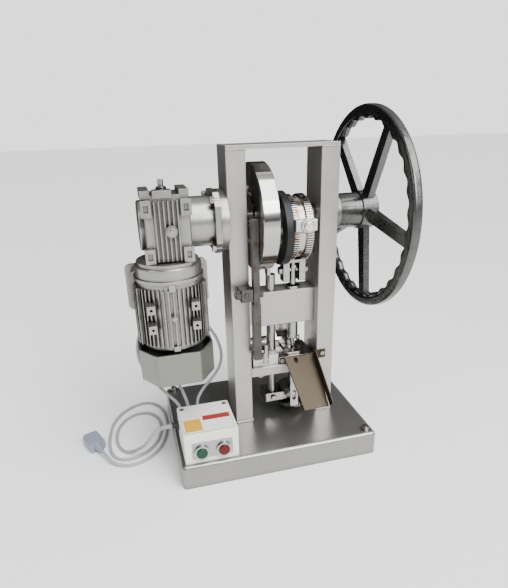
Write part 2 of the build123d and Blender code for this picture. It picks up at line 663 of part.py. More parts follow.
with BuildPart() as con_rod_screw:
    bar_z(PUNCH_X, 0, (ROD_SCREW_BOTTOM, FORK_Z[1]), ROD_SCREW_R)
    chamfer(con_rod_screw.edges().group_by(Axis.Z)[0], 0.8)
    hex_bar((PUNCH_X, 0, ROD_NUT[0]), (PUNCH_X, 0, ROD_NUT[1]), ROD_NUT_R * math.sqrt(3))
    bar_x((PUNCH_X - 20, PUNCH_X + 20), PIN_R + RUN_GAP, PIN_Z, Mode.SUBTRACT)
con_rod_screw.part.label = "con_rod_screw"
export_step(con_rod_screw.part, "parts/con_rod_screw.step")

with BuildPart() as wrist_pin:
    bar_x((39.5, 101.5), PIN_R, PIN_Z)
    hex_bar((39.5, 0, PIN_Z), (FORK_LEFT[0], 0, PIN_Z), 15)
    hex_bar((FORK_RIGHT[1], 0, PIN_Z), (99.5, 0, PIN_Z), 15)
wrist_pin.part.label = "wrist_pin"
export_step(wrist_pin.part, "parts/wrist_pin.step")

# Ram: its hollow, slotted top lets it rise round the screw while the strap stands still.
with BuildPart() as upper_ram:
    bar_z(PUNCH_X, 0, (RAM_BOTTOM, RAM_SHOULDER), RAM_R)
    chamfer(upper_ram.edges().group_by(Axis.Z)[0], 0.8)
    bar_z(PUNCH_X, 0, (RAM_SHOULDER, RAM_TOP), RAM_NECK_R)
    bar_z(PUNCH_X, 0, (RAM_BORE_BOTTOM, RAM_TOP), RAM_BORE_R, Mode.SUBTRACT)
    bar_z(PUNCH_X, 0, (RAM_CUP_BOTTOM, RAM_TOP), RAM_CUP_R, Mode.SUBTRACT)
    block(
        (PUNCH_X - 12, PUNCH_X + 12),
        (-PIN_R - CLEAR, PIN_R + CLEAR),
        (PIN_Z - PIN_R - STROKE - CLEAR, RAM_TOP),
        Mode.SUBTRACT,
    )
    bar_z(PUNCH_X, 0, (RAM_BOTTOM, PUNCH_SHANK[1]), PUNCH_SHANK_R + 0.03, Mode.SUBTRACT)
upper_ram.part.label = "upper_ram"
export_step(upper_ram.part, "parts/upper_ram.step")

with BuildPart() as upper_punch:
    bar_z(PUNCH_X, 0, PUNCH_SHANK, PUNCH_SHANK_R)
    chamfer(upper_punch.edges().group_by(Axis.Z)[0], 1)
    bar_z(PUNCH_X, 0, (PUNCH_TIP_BOTTOM, PUNCH_SHANK[0]), PUNCH_TIP_R)
upper_punch.part.label = "upper_punch"
export_step(upper_punch.part, "parts/upper_punch.step")

# Lift gear: the drum's lobe raises the rod, the yoke and the lower punch.
with BuildPart() as lift_rod:
    bar_z(LIFT_X, 0, LIFT_ROD, ROD_R)
    chamfer(lift_rod.edges().group_by(Axis.Z)[0], 1)
lift_rod.part.label = "lift_rod"
export_step(lift_rod.part, "parts/lift_rod.step")

with BuildPart() as cam_follower:
    block(BRACKET_X, (-9, 9), (LIFT_ROD[1], BRACKET_TOP))
    fillet(cam_follower.edges().filter_by(Axis.X).group_by(Axis.Z)[-1], 7)
    bar((ROLLER_X[0], 0, ROLLER_Z), (BRACKET_X[0], 0, ROLLER_Z), 3)
    bar(ROLLER_X[:1] + (0, ROLLER_Z), ROLLER_X[1:] + (0, ROLLER_Z), ROLLER_R)
cam_follower.part.label = "cam_follower"
export_step(cam_follower.part, "parts/cam_follower.step")

YOKE_SCREW_Z = 84
with BuildPart() as lift_yoke:
    block(YOKE_X, YOKE_Y, YOKE_Z)
    block((YOKE_X[1], YOKE_TIP), (-YOKE_TIP_Y, YOKE_TIP_Y), YOKE_Z)
    fillet(lift_yoke.edges().filter_by(Axis.Z).group_by(Axis.X)[0], 3)
    fillet(lift_yoke.edges().filter_by(Axis.Z).group_by(Axis.X)[-1], 5)
    bar_z(LIFT_X, 0, YOKE_Z, ROD_R + 0.03, Mode.SUBTRACT)
    bar_z(PUNCH_X, 0, YOKE_Z, STEM_R + 0.03, Mode.SUBTRACT)
    hex_bar((LIFT_X, YOKE_Y[0] - 5, YOKE_SCREW_Z), (LIFT_X, YOKE_Y[0], YOKE_SCREW_Z), 10)
lift_yoke.part.label = "lift_yoke"
export_step(lift_yoke.part, "parts/lift_yoke.step")

with BuildPart() as lower_punch:
    bar_z(PUNCH_X, 0, STEM, STEM_R)
    chamfer(lower_punch.edges().group_by(Axis.Z)[-1], 1)
    bar_z(PUNCH_X, 0, (STEM[1], LOWER_PUNCH_TOP), PUNCH_TIP_R)
lower_punch.part.label = "lower_punch"
export_step(lower_punch.part, "parts/lower_punch.step")


def adjusting_gear(z, radius):
    """A flat toothed nut that turns on the lower punch's stem."""
    bar_z(PUNCH_X, 0, z, radius)
    with BuildSketch(Plane.XY.offset(z[0])) as gaps:
        with Locations((PUNCH_X, 0)):
            with PolarLocations(radius, GEAR_TEETH):
                Rectangle(2 * GEAR_TOOTH, GEAR_TOOTH)
    extrude(gaps.sketch, z[1] - z[0], mode=Mode.SUBTRACT)
    bar_z(PUNCH_X, 0, z, STEM_R + RUN_GAP, Mode.SUBTRACT)


with BuildPart() as upper_adjusting_gear:
    adjusting_gear(UPPER_GEAR, UPPER_GEAR_R)
upper_adjusting_gear.part.label = "upper_adjusting_gear"
export_step(upper_adjusting_gear.part, "parts/upper_adjusting_gear.step")

with BuildPart() as lower_adjusting_gear:
    adjusting_gear(LOWER_GEAR, LOWER_GEAR_R)
lower_adjusting_gear.part.label = "lower_adjusting_gear"
export_step(lower_adjusting_gear.part, "parts/lower_adjusting_gear.step")

# Feed lever: rocks on the pivot stud and pushes the shoe with the slot in its foot.
with BuildPart() as feed_lever:
    block(LEVER_UPPER_X, LEVER_Y, (LEVER_WAIST, LEVER_Z[1]))
    block(LEVER_LOWER_X, LEVER_Y, (LEVER_Z[0], LEVER_WAIST))
    block(LEVER_LOWER_X, (LEVER_Y[1], FOOT_BACK), (LEVER_Z[0], FOOT_TOP))
    chamfer(feed_lever.edges().filter_by(Axis.X).group_by(Axis.Z)[-1], 3)
    pivot_start = (LEVER_LOWER_X[0], PIVOT_Y, PIVOT_Z)
    pivot_end = (LEVER_LOWER_X[1], PIVOT_Y, PIVOT_Z)
    bar(pivot_start, pivot_end, PIVOT_R + RUN_GAP, Mode.SUBTRACT)
    with BuildSketch(Plane.YZ.offset(LEVER_LOWER_X[0])):
        with Locations((FEED_PIN_Y, FEED_PIN_Z - 0.4)):
            SlotOverall(2 * FEED_PIN_R + 3.4, 2 * FEED_PIN_R + 1, rotation=90)
    extrude(amount=LEVER_LOWER_X[1] - LEVER_LOWER_X[0], mode=Mode.SUBTRACT)
feed_lever.part.label = "feed_lever"
export_step(feed_lever.part, "parts/feed_lever.step")

# Feed shoe: the powder chamber, the nose that sweeps tablets off, and its driving arm.
with BuildPart() as feed_shoe:
    with BuildSketch(Plane.XY.offset(SHOE_Z[0])):
        with Locations(((NOSE[0] + NOSE[1]) / 2, (NOSE_Y[0] + NOSE_Y[1]) / 2)):
            SlotOverall(NOSE[1] - NOSE[0], NOSE_Y[1] - NOSE_Y[0])
    extrude(amount=SHOE_Z[1] - SHOE_Z[0])
    block((50, SLOT_X[0]), (NOSE_Y[1] - 3, CHAMBER_Y[0] + 4), SHOE_Z)
    block((SLOT_X[1], CHAMBER_X[1]), (NOSE_Y[1] - 3, CHAMBER_Y[0] + 4), SHOE_Z)
    with BuildSketch(Plane.YZ.offset(CHAMBER_X[0])):
        with BuildLine():
            Polyline(
                (CHAMBER_Y[0], SHOE_Z[0]),
                (CHAMBER_Y[1], SHOE_Z[0]),
                (CHAMBER_Y[1], CHAMBER_HIGH - 6),
                (CHAMBER_CREST_Y, CHAMBER_HIGH),
                (CHAMBER_Y[0], CHAMBER_LOW),
                close=True,
            )
        make_face()
    extrude(amount=CHAMBER_X[1] - CHAMBER_X[0])
    block((CHAMBER_X[0] + 4, CHAMBER_X[1] - 4), CAVITY_Y, (SHOE_Z[0], CHAMBER_HIGH), Mode.SUBTRACT)
    block((LEG_X[0], CHAMBER_X[0]), ARM_Y, ARM_Z)
    block(LEG_X, (LEG_FRONT, ARM_Y[1]), ARM_Z)
    bar_z(POST_X, FEED_PIN_Y, POST_Z, POST_R)
    bar((LEVER_LOWER_X[0] - 3, FEED_PIN_Y, FEED_PIN_Z), (POST_X, FEED_PIN_Y, FEED_PIN_Z), FEED_PIN_R)
    bar((CHAMBER_X[1], 27, 201), (CHAMBER_X[1] + 6, 27, 201), 2.5)
    bar((CHAMBER_X[1] + 6, 27, 201), (CHAMBER_X[1] + 13, 27, 201), 6)
feed_shoe.part.label = "feed_shoe"
export_step(feed_shoe.part, "parts/feed_shoe.step")

# Gear reducer: housing, output flange, round cover, worm and bolts.
PAD_FRONT = -92
PAD_BACK = -82
GEARBOX_PADS_X = [(-222, -205), (-157, -139)]
GEARBOX_PADS_Z = [(GEARBOX_Z[0] + 0.5, 453), (506, 533.5)]
BOX_FINS = 6
with BuildPart() as gearbox_housing:
    block(GEARBOX_X, GEARBOX_Y, GEARBOX_Z)
    fillet(gearbox_housing.edges().filter_by(Axis.X).group_by(Axis.Y)[-1], 22)
    fillet(gearbox_housing.edges().filter_by(Axis.Z), 5)
    block(HEAD_X, HEAD_Y, (GEARBOX_Z[1], HEAD_TOP))
    block((HEAD_X[0] + 16, HEAD_X[1] - 16), (HEAD_Y[0], HEAD_Y[1]), (HEAD_TOP - 8, HEAD_TOP), Mode.SUBTRACT)
    block((-201, -170), (HEAD_Y[0] - 6, HEAD_Y[0] + 8), (GEARBOX_Z[1] + 2, HEAD_TOP))
    bar_z(WORM_X, WORM_Y, (HEAD_TOP - 8, HEAD_TOP - 3), 16)
    for pad_x in GEARBOX_PADS_X:
        for pad_z in GEARBOX_PADS_Z:
            block(pad_x, (PAD_FRONT, PAD_BACK + 4), pad_z)
            middle_x = (pad_x[0] + pad_x[1]) / 2
            middle_z = (pad_z[0] + pad_z[1]) / 2
            block(
                (middle_x - 4, middle_x + 4),
                (PAD_FRONT, PAD_FRONT + 4),
                (middle_z - 6, middle_z + 6),
                Mode.SUBTRACT,
            )
    for fin in range(BOX_FINS):
        fin_x = -201 + fin * 7.6
        block((fin_x, fin_x + 2.4), (PAD_FRONT + 3, PAD_BACK + 2), (GEARBOX_Z[0] + 3, GEARBOX_Z[1] - 3))
    bar((-175, -93, 481), (-175, -80, 481), 10)
    # inner space for the worm wheel and the worm
    bar_x((GEARBOX_X[0], -152), 42, mode=Mode.SUBTRACT)
    block((-200, -166), (-69, 0), (440, 522), Mode.SUBTRACT)
    bar_x((-152, GEARBOX_X[1]), 17, mode=Mode.SUBTRACT)
    bar_z(WORM_X, WORM_Y, (GEARBOX_Z[0], 449), 16, Mode.SUBTRACT)
    bar_z(WORM_X, WORM_Y, (513, 527), 16, Mode.SUBTRACT)
    bar_z(WORM_X, WORM_Y, (527, HEAD_TOP), WORM_SHAFT_R + CLEAR, Mode.SUBTRACT)
    bar((-175, -93, 481), (-175, -78, 481), 5, Mode.SUBTRACT)
gearbox_housing.part.label = "gearbox_housing"
export_step(gearbox_housing.part, "parts/gearbox_housing.step")

with BuildPart() as gearbox_cover:
    bar_x(COVER_X, COVER_R)
    fillet(gearbox_cover.edges().group_by(Axis.X)[0], 4)
    bar_x((COVER_X[0] + 2.5, COVER_X[1]), 40, mode=Mode.SUBTRACT)
gearbox_cover.part.label = "gearbox_cover"
export_step(gearbox_cover.part, "parts/gearbox_cover.step")

with BuildPart() as output_flange:
    bar_x((GEARBOX_X[1], SQUARE_FLANGE_X[0]), NECK_R)
    flange_half = SQUARE_FLANGE / 2
    block(SQUARE_FLANGE_X, (-flange_half, flange_half), (SHAFT_Z - flange_half, SHAFT_Z + flange_half))
    chamfer(output_flange.edges().filter_by(Axis.X).filter_by(GeomType.LINE), SQUARE_CHAMFER)
    bar_x((SQUARE_FLANGE_X[1], LEFT_COLUMN[0]), ROUND_FLANGE_R)
    bar_x((GEARBOX_X[1], -100), 38, mode=Mode.SUBTRACT)
    bar_x((-100, LEFT_COLUMN[0]), SHAFT_R + 1, mode=Mode.SUBTRACT)
    for bolt_y in (-FLANGE_BOLT, FLANGE_BOLT):
        for bolt_z in (-FLANGE_BOLT, FLANGE_BOLT):
            start = (SQUARE_FLANGE_X[0], bolt_y, SHAFT_Z + bolt_z)
            bar(start, (SQUARE_FLANGE_X[1], bolt_y, SHAFT_Z + bolt_z), 4, Mode.SUBTRACT)
output_flange.part.label = "output_flange"
export_step(output_flange.part, "parts/output_flange.step")

with BuildPart() as gearbox_bolts:
    for bolt_y in (-FLANGE_BOLT, FLANGE_BOLT):
        for bolt_z in (-FLANGE_BOLT, FLANGE_BOLT):
            seat = (SQUARE_FLANGE_X[0], bolt_y, SHAFT_Z + bolt_z)
            hex_bar((SQUARE_FLANGE_X[0] - 7, bolt_y, SHAFT_Z + bolt_z), seat, 13)
            bar(seat, (SQUARE_FLANGE_X[1], bolt_y, SHAFT_Z + bolt_z), 4)
    bar((-175, -96, 481), (-175, -93, 481), 7.6)
    bar((-175, -93, 481), (-175, -80, 481), 5)
    hex_bar((-175, -99, 481), (-175, -96, 481), 8)
gearbox_bolts.part.label = "gearbox_bolts"
export_step(gearbox_bolts.part, "parts/gearbox_bolts.step")

with BuildPart() as worm_shaft:
    bar_z(WORM_X, WORM_Y, (WORM_SHAFT_BOTTOM, EXTENSION_Z[0]), WORM_SHAFT_R)
    bar_z(WORM_X, WORM_Y, WORM_Z, WORM_R)
    with BuildSketch(Plane.XZ.offset(-WORM_Y)):
        for turn in range(9):
            with Locations((WORM_X + WORM_R, WORM_Z[0] + 5 + turn * 5.4)):
                Rectangle(5, 2.6)
    revolve(axis=Axis((WORM_X, WORM_Y, 0), (0, 0, 1)), mode=Mode.SUBTRACT)
    bar_z(WORM_X, WORM_Y, EXTENSION_Z, EXTENSION_R)
    chamfer(worm_shaft.edges().group_by(Axis.Z)[-1], EDGE_BREAK)
    bar_z(WORM_X, WORM_Y, (WORM_SHAFT_BOTTOM, 450), 6, Mode.SUBTRACT)
worm_shaft.part.label = "worm_shaft"
export_step(worm_shaft.part, "parts/worm_shaft.step")

# Motor: end shield, finned housing, stator, rotor, fan and cowl, all upright.
with BuildPart() as motor_end_shield:
    bar_z(WORM_X, WORM_Y, (MOTOR_Z[1], 400.6), 62)
    bar_z(WORM_X, WORM_Y, (400.6, 421), 59)
    fillet(motor_end_shield.edges().group_by(Axis.Z)[-1], 3)
    bar_z(WORM_X, WORM_Y, (421, GEARBOX_Z[0]), 55)
    bar_z(WORM_X, WORM_Y, (MOTOR_Z[1], 408), 18, Mode.SUBTRACT)
    bar_z(WORM_X, WORM_Y, (408, 420), 12, Mode.SUBTRACT)
    bar_z(WORM_X, WORM_Y, (420, GEARBOX_Z[0]), 40, Mode.SUBTRACT)
motor_end_shield.part.label = "motor_end_shield"
export_step(motor_end_shield.part, "parts/motor_end_shield.step")

FIN_COUNT = 44
with BuildPart() as motor_housing:
    bar_z(WORM_X, WORM_Y, MOTOR_Z, MOTOR_CORE_R)
    with BuildSketch(Plane.XY.offset(FIN_Z[0])):
        with Locations((WORM_X, WORM_Y)):
            with PolarLocations(MOTOR_CORE_R - 1, FIN_COUNT):
                Rectangle(FIN_R - MOTOR_CORE_R + 1, FIN_T, align=(Align.MIN, Align.CENTER))
    extrude(amount=FIN_Z[1] - FIN_Z[0])
    for side in (-1, 1):
        with BuildSketch(Plane.XY.offset(FIN_Z[0])):
            with Locations((WORM_X, WORM_Y)):
                with PolarLocations(FIN_R - 3, 7, start_angle=90 - side * 90 - 24, angular_range=48, endpoint=True):
                    Rectangle(LOBE_R - FIN_R + 3, FIN_T, align=(Align.MIN, Align.CENTER))
        extrude(amount=FIN_Z[1] - FIN_Z[0])
    for pad_dx in (-PAD_X / 2, PAD_X / 2):
        for pad_dz in (-PAD_Z / 2, PAD_Z / 2):
            pad_x = PAD_MID_X + pad_dx
            pad_z = PAD_MID_Z + pad_dz
            block((pad_x - 7, pad_x + 7), (PAD_FACE, WORM_Y - 28), (pad_z - 7.5, pad_z + 7.5))
    block((-190, -179), (-113, WORM_Y - 50), (383, MOTOR_Z[1]))
    block((-190, -179), (-113, WORM_Y - 50), (MOTOR_Z[0], 281))
    bar((-185, -112, 335), (-185, -100, 335), 6)
    hex_bar((-185, -118, 335), (-185, -112, 335), 8)
    bar_z(WORM_X, WORM_Y, (MOTOR_Z[0] + 10, MOTOR_Z[1]), MOTOR_BORE_R, Mode.SUBTRACT)
    bar_z(WORM_X, WORM_Y, (MOTOR_Z[0], MOTOR_Z[0] + 10), 12, Mode.SUBTRACT)
    bar_z(WORM_X, WORM_Y, (281, 291), 18, Mode.SUBTRACT)
    for pad_dx in (-PAD_X / 2, PAD_X / 2):
        for pad_dz in (-PAD_Z / 2, PAD_Z / 2):
            hole = (PAD_MID_X + pad_dx, PAD_FACE, PAD_MID_Z + pad_dz)
            bar(hole, (hole[0], PAD_FACE + PAD_HOLE_DEPTH, hole[2]), PAD_HOLE_R, Mode.SUBTRACT)
    # neck that carries the wiring box
    block((-200, -165), (WORM_Y + 50, MOTOR_BOX_Y[0]), (330, 375))
motor_housing.part.label = "motor_housing"
export_step(motor_housing.part, "parts/motor_housing.step")

with BuildPart() as motor_stator:
    with BuildSketch(Plane.XY.offset(295)):
        with Locations((WORM_X, WORM_Y)):
            Circle(MOTOR_BORE_R - 0.1)
            Circle(29, mode=Mode.SUBTRACT)
    extrude(amount=85)
motor_stator.part.label = "motor_stator"
export_step(motor_stator.part, "parts/motor_stator.step")

with BuildPart() as motor_rotor:
    bar_z(WORM_X, WORM_Y, (302, 373), 28)
    bar_z(WORM_X, WORM_Y, (275, 408), 9)
    bar_z(WORM_X, WORM_Y, (222, 449), 5.95)
motor_rotor.part.label = "motor_rotor"
export_step(motor_rotor.part, "parts/motor_rotor.step")

with BuildPart() as cooling_fan:
    bar_z(WORM_X, WORM_Y, (226, 256), 12)
    bar_z(WORM_X, WORM_Y, (250, 253), 52)
    with BuildSketch(Plane.XY.offset(228)):
        with Locations((WORM_X, WORM_Y)):
            with PolarLocations(11, 7):
                Rectangle(39, 2.4, align=(Align.MIN, Align.CENTER))
    extrude(amount=22)
    bar_z(WORM_X, WORM_Y, (226, 256), 5.97, Mode.SUBTRACT)
cooling_fan.part.label = "cooling_fan"
export_step(cooling_fan.part, "parts/cooling_fan.step")

with BuildPart() as fan_cowl:
    cowl_corners = [
        (COWL_HALF[0], -68),
        (COWL_HALF[1], -60),
        (COWL_R, -26),
        (COWL_R, 26),
        (COWL_HALF[1], 60),
        (COWL_HALF[0], 68),
    ]
    cowl_outline = cowl_corners + [(-x, y) for x, y in reversed(cowl_corners)]
    with BuildSketch(Plane.XY.offset(COWL_Z[0])):
        with Locations((WORM_X, WORM_Y)):
            Polygon(*cowl_outline, align=None)
    extrude(amount=COWL_Z[1] - COWL_Z[0])
    fillet(fan_cowl.faces().sort_by(Axis.Z)[0].edges(), COWL_EDGE_R)
    with BuildSketch(Plane.XY.offset(COWL_Z[0] + COWL_SHEET)) as cowl_inside:
        with Locations((WORM_X, WORM_Y)):
            Polygon(*cowl_outline, align=None)
        offset(amount=-COWL_SHEET - 1.5)
    extrude(cowl_inside.sketch, amount=COWL_Z[1] - COWL_Z[0] - COWL_SHEET, mode=Mode.SUBTRACT)
    with BuildSketch(Plane.XY.offset(COWL_Z[0])):
        with Locations((WORM_X, WORM_Y)):
            for ring in range(3):
                with PolarLocations(18 + 12 * ring, 10 + 6 * ring):
                    Circle(3)
    extrude(amount=COWL_SHEET, mode=Mode.SUBTRACT)
    for side_x in (WORM_X - 48, WORM_X + 40):
        block((side_x, side_x + 8), (WORM_Y - 20, WORM_Y - 8), (COWL_Z[1] - 4, MOTOR_Z[0]))
fan_cowl.part.label = "fan_cowl"
export_step(fan_cowl.part, "parts/fan_cowl.step")

# Wiring box on the back of the motor, and its lid.
with BuildPart() as motor_box:
    block(MOTOR_BOX_X, MOTOR_BOX_Y, MOTOR_BOX_Z)
    fillet(motor_box.edges().filter_by(Axis.Y), 8)
    block(
        (MOTOR_BOX_X[0] + BOX_WALL, MOTOR_BOX_X[1] - BOX_WALL),
        (MOTOR_BOX_Y[0] + BOX_WALL, MOTOR_BOX_Y[1]),
        (MOTOR_BOX_Z[0] + BOX_WALL, MOTOR_BOX_Z[1] - BOX_WALL),
        Mode.SUBTRACT,
    )
motor_box.part.label = "motor_box"
export_step(motor_box.part, "parts/motor_box.step")

with BuildPart() as motor_box_lid:
    block(MOTOR_LID_X, MOTOR_LID_Y, MOTOR_LID_Z)
    fillet(motor_box_lid.edges().filter_by(Axis.Y), MOTOR_LID_R)
    fillet(motor_box_lid.faces().sort_by(Axis.Y)[-1].edges(), 2.5)
    block(
        (MOTOR_BOX_X[0] + 12, MOTOR_BOX_X[1] - 12),
        (MOTOR_LID_Y[0], MOTOR_LID_Y[1] - BOX_WALL),
        (MOTOR_BOX_Z[0] + 6, MOTOR_BOX_Z[1] - 6),
        Mode.SUBTRACT,
    )
    for screw_x, screw_z in MOTOR_LID_SCREWS:
        bar((screw_x, MOTOR_LID_Y[1] - 7, screw_z), (screw_x, MOTOR_LID_Y[1], screw_z), 2, Mode.SUBTRACT)
motor_box_lid.part.label = "motor_box_lid"
export_step(motor_box_lid.part, "parts/motor_box_lid.step")

# Control box: a base with the buttons in its front, and a separate lid.
GLAND_PLACES = [(-182, 90), (-165, 92), (-146, 92)]
with BuildPart() as control_box_base:
    block(BOX_X, BOX_Y, (BOX_Z[0], BOX_SPLIT))
    fillet(control_box_base.edges().filter_by(Axis.Z), BOX_EDGE_R)
    block(
        (BOX_X[0] + BOX_WALL, BOX_X[1] - BOX_WALL),
        (BOX_Y[0] + BOX_WALL, BOX_Y[1] - BOX_WALL),
        (BOX_Z[0] + BOX_WALL, BOX_SPLIT),
        Mode.SUBTRACT,
    )
    for screw_x, screw_y in LID_SCREWS:
        bar_z(screw_x, screw_y, (BOX_Z[0] + 1, BOX_SPLIT), 5)
        bar_z(screw_x, screw_y, (BOX_SPLIT - 4, BOX_SPLIT), 2, Mode.SUBTRACT)
    for button_x in (GREEN_X, RED_X):
        start = (button_x, BOX_Y[0], BUTTON_Z)
        bar(start, (button_x, BOX_Y[0] + BOX_WALL, BUTTON_Z), 11.5, Mode.SUBTRACT)
control_box_base.part.label = "control_box_base"
export_step(control_box_base.part, "parts/control_box_base.step")

with BuildPart() as control_box_lid:
    block(BOX_X, BOX_Y, (BOX_SPLIT, BOX_Z[1]))
    fillet(control_box_lid.edges().filter_by(Axis.Z), BOX_EDGE_R)
    fillet(control_box_lid.faces().sort_by(Axis.Z)[-1].edges(), 1.6)
    block(
        (BOX_X[0] + BOX_WALL, BOX_X[1] - BOX_WALL),
        (BOX_Y[0] + BOX_WALL, BOX_Y[1] - BOX_WALL),
        (BOX_SPLIT, BOX_Z[1] - BOX_WALL),
        Mode.SUBTRACT,
    )
    for screw_x, screw_y in LID_SCREWS:
        bar_z(screw_x, screw_y, (BOX_SPLIT, BOX_Z[1] - BOX_WALL / 2), 7.2)
        bar_z(screw_x, screw_y, (BOX_Z[1] - 3, BOX_Z[1]), 5.2, Mode.SUBTRACT)
        bar_z(screw_x, screw_y, (BOX_SPLIT, BOX_Z[1]), 2, Mode.SUBTRACT)
control_box_lid.part.label = "control_box_lid"
export_step(control_box_lid.part, "parts/control_box_lid.step")

# Push-button switches: chrome bezel, threaded barrel and contact block.
BEZEL_FRONT = BOX_Y[0] - 5
with BuildPart() as switch_bodies:
    for button_x in (GREEN_X, RED_X):
        bar((button_x, BEZEL_FRONT, BUTTON_Z), (button_x, BOX_Y[0], BUTTON_Z), BEZEL_R)
        bar((button_x, BOX_Y[0], BUTTON_Z), (button_x, BOX_Y[0] + 16, BUTTON_Z), 11.4)
        block((button_x - 14, button_x + 14), (BOX_Y[0] + 16, BOX_Y[0] + 44), (BUTTON_Z - 15, BUTTON_Z + 15))
        start = (button_x, BEZEL_FRONT, BUTTON_Z)
        bar(start, (button_x, BOX_Y[0] + 14, BUTTON_Z), BUTTON_R + 0.3, Mode.SUBTRACT)
switch_bodies.part.label = "switch_bodies"
export_step(switch_bodies.part, "parts/switch_bodies.step")

BUTTON_FRONT = BEZEL_FRONT - 3
with BuildPart() as green_button:
    bar((GREEN_X, BUTTON_FRONT, BUTTON_Z), (GREEN_X, BUTTON_FRONT + 15, BUTTON_Z), BUTTON_R)
    fillet(green_button.edges().group_by(Axis.Y)[0], 1.5)
green_button.part.label = "green_button"
export_step(green_button.part, "parts/green_button.step")

with BuildPart() as red_button:
    bar((RED_X, BUTTON_FRONT, BUTTON_Z), (RED_X, BUTTON_FRONT + 15, BUTTON_Z), BUTTON_R)
    fillet(red_button.edges().group_by(Axis.Y)[0], 1.5)
red_button.part.label = "red_button"
export_step(red_button.part, "parts/red_button.step")

# Cable glands: three in the control box's back, one in its left side, three on the motor.
MOTOR_GLAND_X = (-238, -122)
MOTOR_GLAND_Y = 23
COWL_GLAND = (-187, -12, COWL_Z[0])
with BuildPart() as cable_glands:
    for gland_x, gland_z in GLAND_PLACES:
        bar((gland_x, BOX_Y[1], gland_z), (gland_x, BOX_Y[1] + GLAND_L, gland_z), GLAND_R)
    bar((BOX_X[0], MAINS_EXIT[1], MAINS_EXIT[2]), (BOX_X[0] - 4, MAINS_EXIT[1], MAINS_EXIT[2]), GLAND_R + 2)
    bar((BOX_X[0] - 4, MAINS_EXIT[1], MAINS_EXIT[2]), MAINS_EXIT, GLAND_R - 1)
    for gland_x in MOTOR_GLAND_X:
        bar((gland_x, MOTOR_GLAND_Y, MOTOR_BOX_Z[0]), (gland_x, MOTOR_GLAND_Y, MOTOR_BOX_Z[0] - GLAND_L), GLAND_R)
    bar(COWL_GLAND, (COWL_GLAND[0], COWL_GLAND[1], COWL_Z[0] - 8), GLAND_R - 1)
cable_glands.part.label = "cable_glands"
export_step(cable_glands.part, "parts/cable_glands.step")

# Cords: three leads from the motor to the control box, and the mains cord.
LEFT_LEAD = [
    (-238, 23, 302),
    (-238, 23, 280),
    (-248, 23, 255),
    (-255, 20, 228),
    (-254, 16, 202),
    (-243, 14, 176),
    (-230, 17, 150),
    (-216, 22, 126),
    (-200, 23, 105),
    (-186, 12, 93),
    (-182, -9, 90),
    (-182, -30, 90),
]
RIGHT_LEAD = [
    (-122, 23, 302),
    (-122, 23, 280),
    (-108, 26, 257),
    (-92, 27, 231),
    (-83, 25, 202),
    (-82, 24, 174),
    (-92, 25, 148),
    (-109, 28, 126),
    (-127, 28, 107),
    (-141, 14, 95),
    (-146, -8, 92),
    (-146, -30, 92),
]
MIDDLE_LEAD = [
    (-187, -12, 197),
    (-187, -12, 178),
    (-184, -4, 157),
    (-179, 9, 137),
    (-172, 19, 116),
    (-167, 12, 98),
    (-165, -8, 92),
    (-165, -30, 92),
]
MAINS_ROUTE = [
    MAINS_EXIT,
    (-228, -60, 84),
    (-245, -57, 69),
    (-256, -50, 50),
    (-265, -40, 34),
    (-276, -29, 21),
    (-291, -19, 9),
    (-308, -5, 3.3),
    (-320, 20, 3.3),
    (-323, 54, 3.3),
    (-317, 90, 3.3),
    (-300, 120, 3.3),
    (-272, 137, 3.3),
    (-244, 131, 3.3),
    (-227, 106, 3.3),
    (-222, 72, 3.3),
    (-226, 38, 3.3),
    (-239, 4, 3.3),
    (-262, -22, 3.3),
    (-292, -36, 3.3),
    (-319, -30, 3.3),
    (-334, -6, 3.3),
    (-338, 30, 3.3),
    (-336, 70, 3.3),
    (-330, 108, 3.3),
    (-314, 142, 3.3),
    (-288, 169, 3.3),
    (-254, 183, 3.3),
    (-226, 167, 3.3),
    (-211, 133, 3.3),
    (-208, 92, 3.3),
    (-211, 50, 3.3),
    (-221, 8, 3.3),
    (-240, -28, 3.3),
    (-268, -50, 3.3),
    (-300, -56, 3.3),
    (-329, -44, 7),
    (-343.1, -22.1, 13),
    PLUG_EXIT,
]

cord_motor_left = cord(LEFT_LEAD, CORD_R)
cord_motor_left.part.label = "cord_motor_left"
export_step(cord_motor_left.part, "parts/cord_motor_left.step")

cord_motor_right = cord(RIGHT_LEAD, CORD_R)
cord_motor_right.part.label = "cord_motor_right"
export_step(cord_motor_right.part, "parts/cord_motor_right.step")

cord_motor_middle = cord(MIDDLE_LEAD, CORD_R)
cord_motor_middle.part.label = "cord_motor_middle"
export_step(cord_motor_middle.part, "parts/cord_motor_middle.step")

mains_cord = cord(MAINS_ROUTE, CORD_R)
mains_cord.part.label = "mains_cord"
export_step(mains_cord.part, "parts/mains_cord.step")

# Mains plug: a fluted grip and two flat pins, lying on its side.
PLUG_PIN_L = 18
with BuildPart() as mains_plug:
    away = Vector(*PLUG_DIR).normalized()
    plug_start = Vector(*PLUG_EXIT)
    with BuildSketch(Plane(origin=tuple(plug_start), x_dir=(0, 0, 1), z_dir=away)) as tail:
        Circle(5)
    with BuildSketch(Plane(origin=tuple(plug_start + away * 22), x_dir=(0, 0, 1), z_dir=away)) as waist:
        Circle(9)
    loft([tail.sketch.face(), waist.sketch.face()])
    with BuildSketch(Plane(origin=tuple(plug_start + away * 22), x_dir=(0, 0, 1), z_dir=away)) as grip:
        RectangleRounded(2 * PLUG_R - 2, 2 * PLUG_R + 6, 8)
    extrude(grip.sketch, amount=PLUG_L - 22)
    for side in (-1, 1):
        across = away.cross(Vector(0, 0, 1)) * (6.3 * side)
        root = plug_start + away * PLUG_L + across
        with Locations(Plane(origin=tuple(root), x_dir=(0, 0, 1), z_dir=away)):
            Box(6.4, 1.6, PLUG_PIN_L, align=(Align.CENTER, Align.CENTER, Align.MIN))
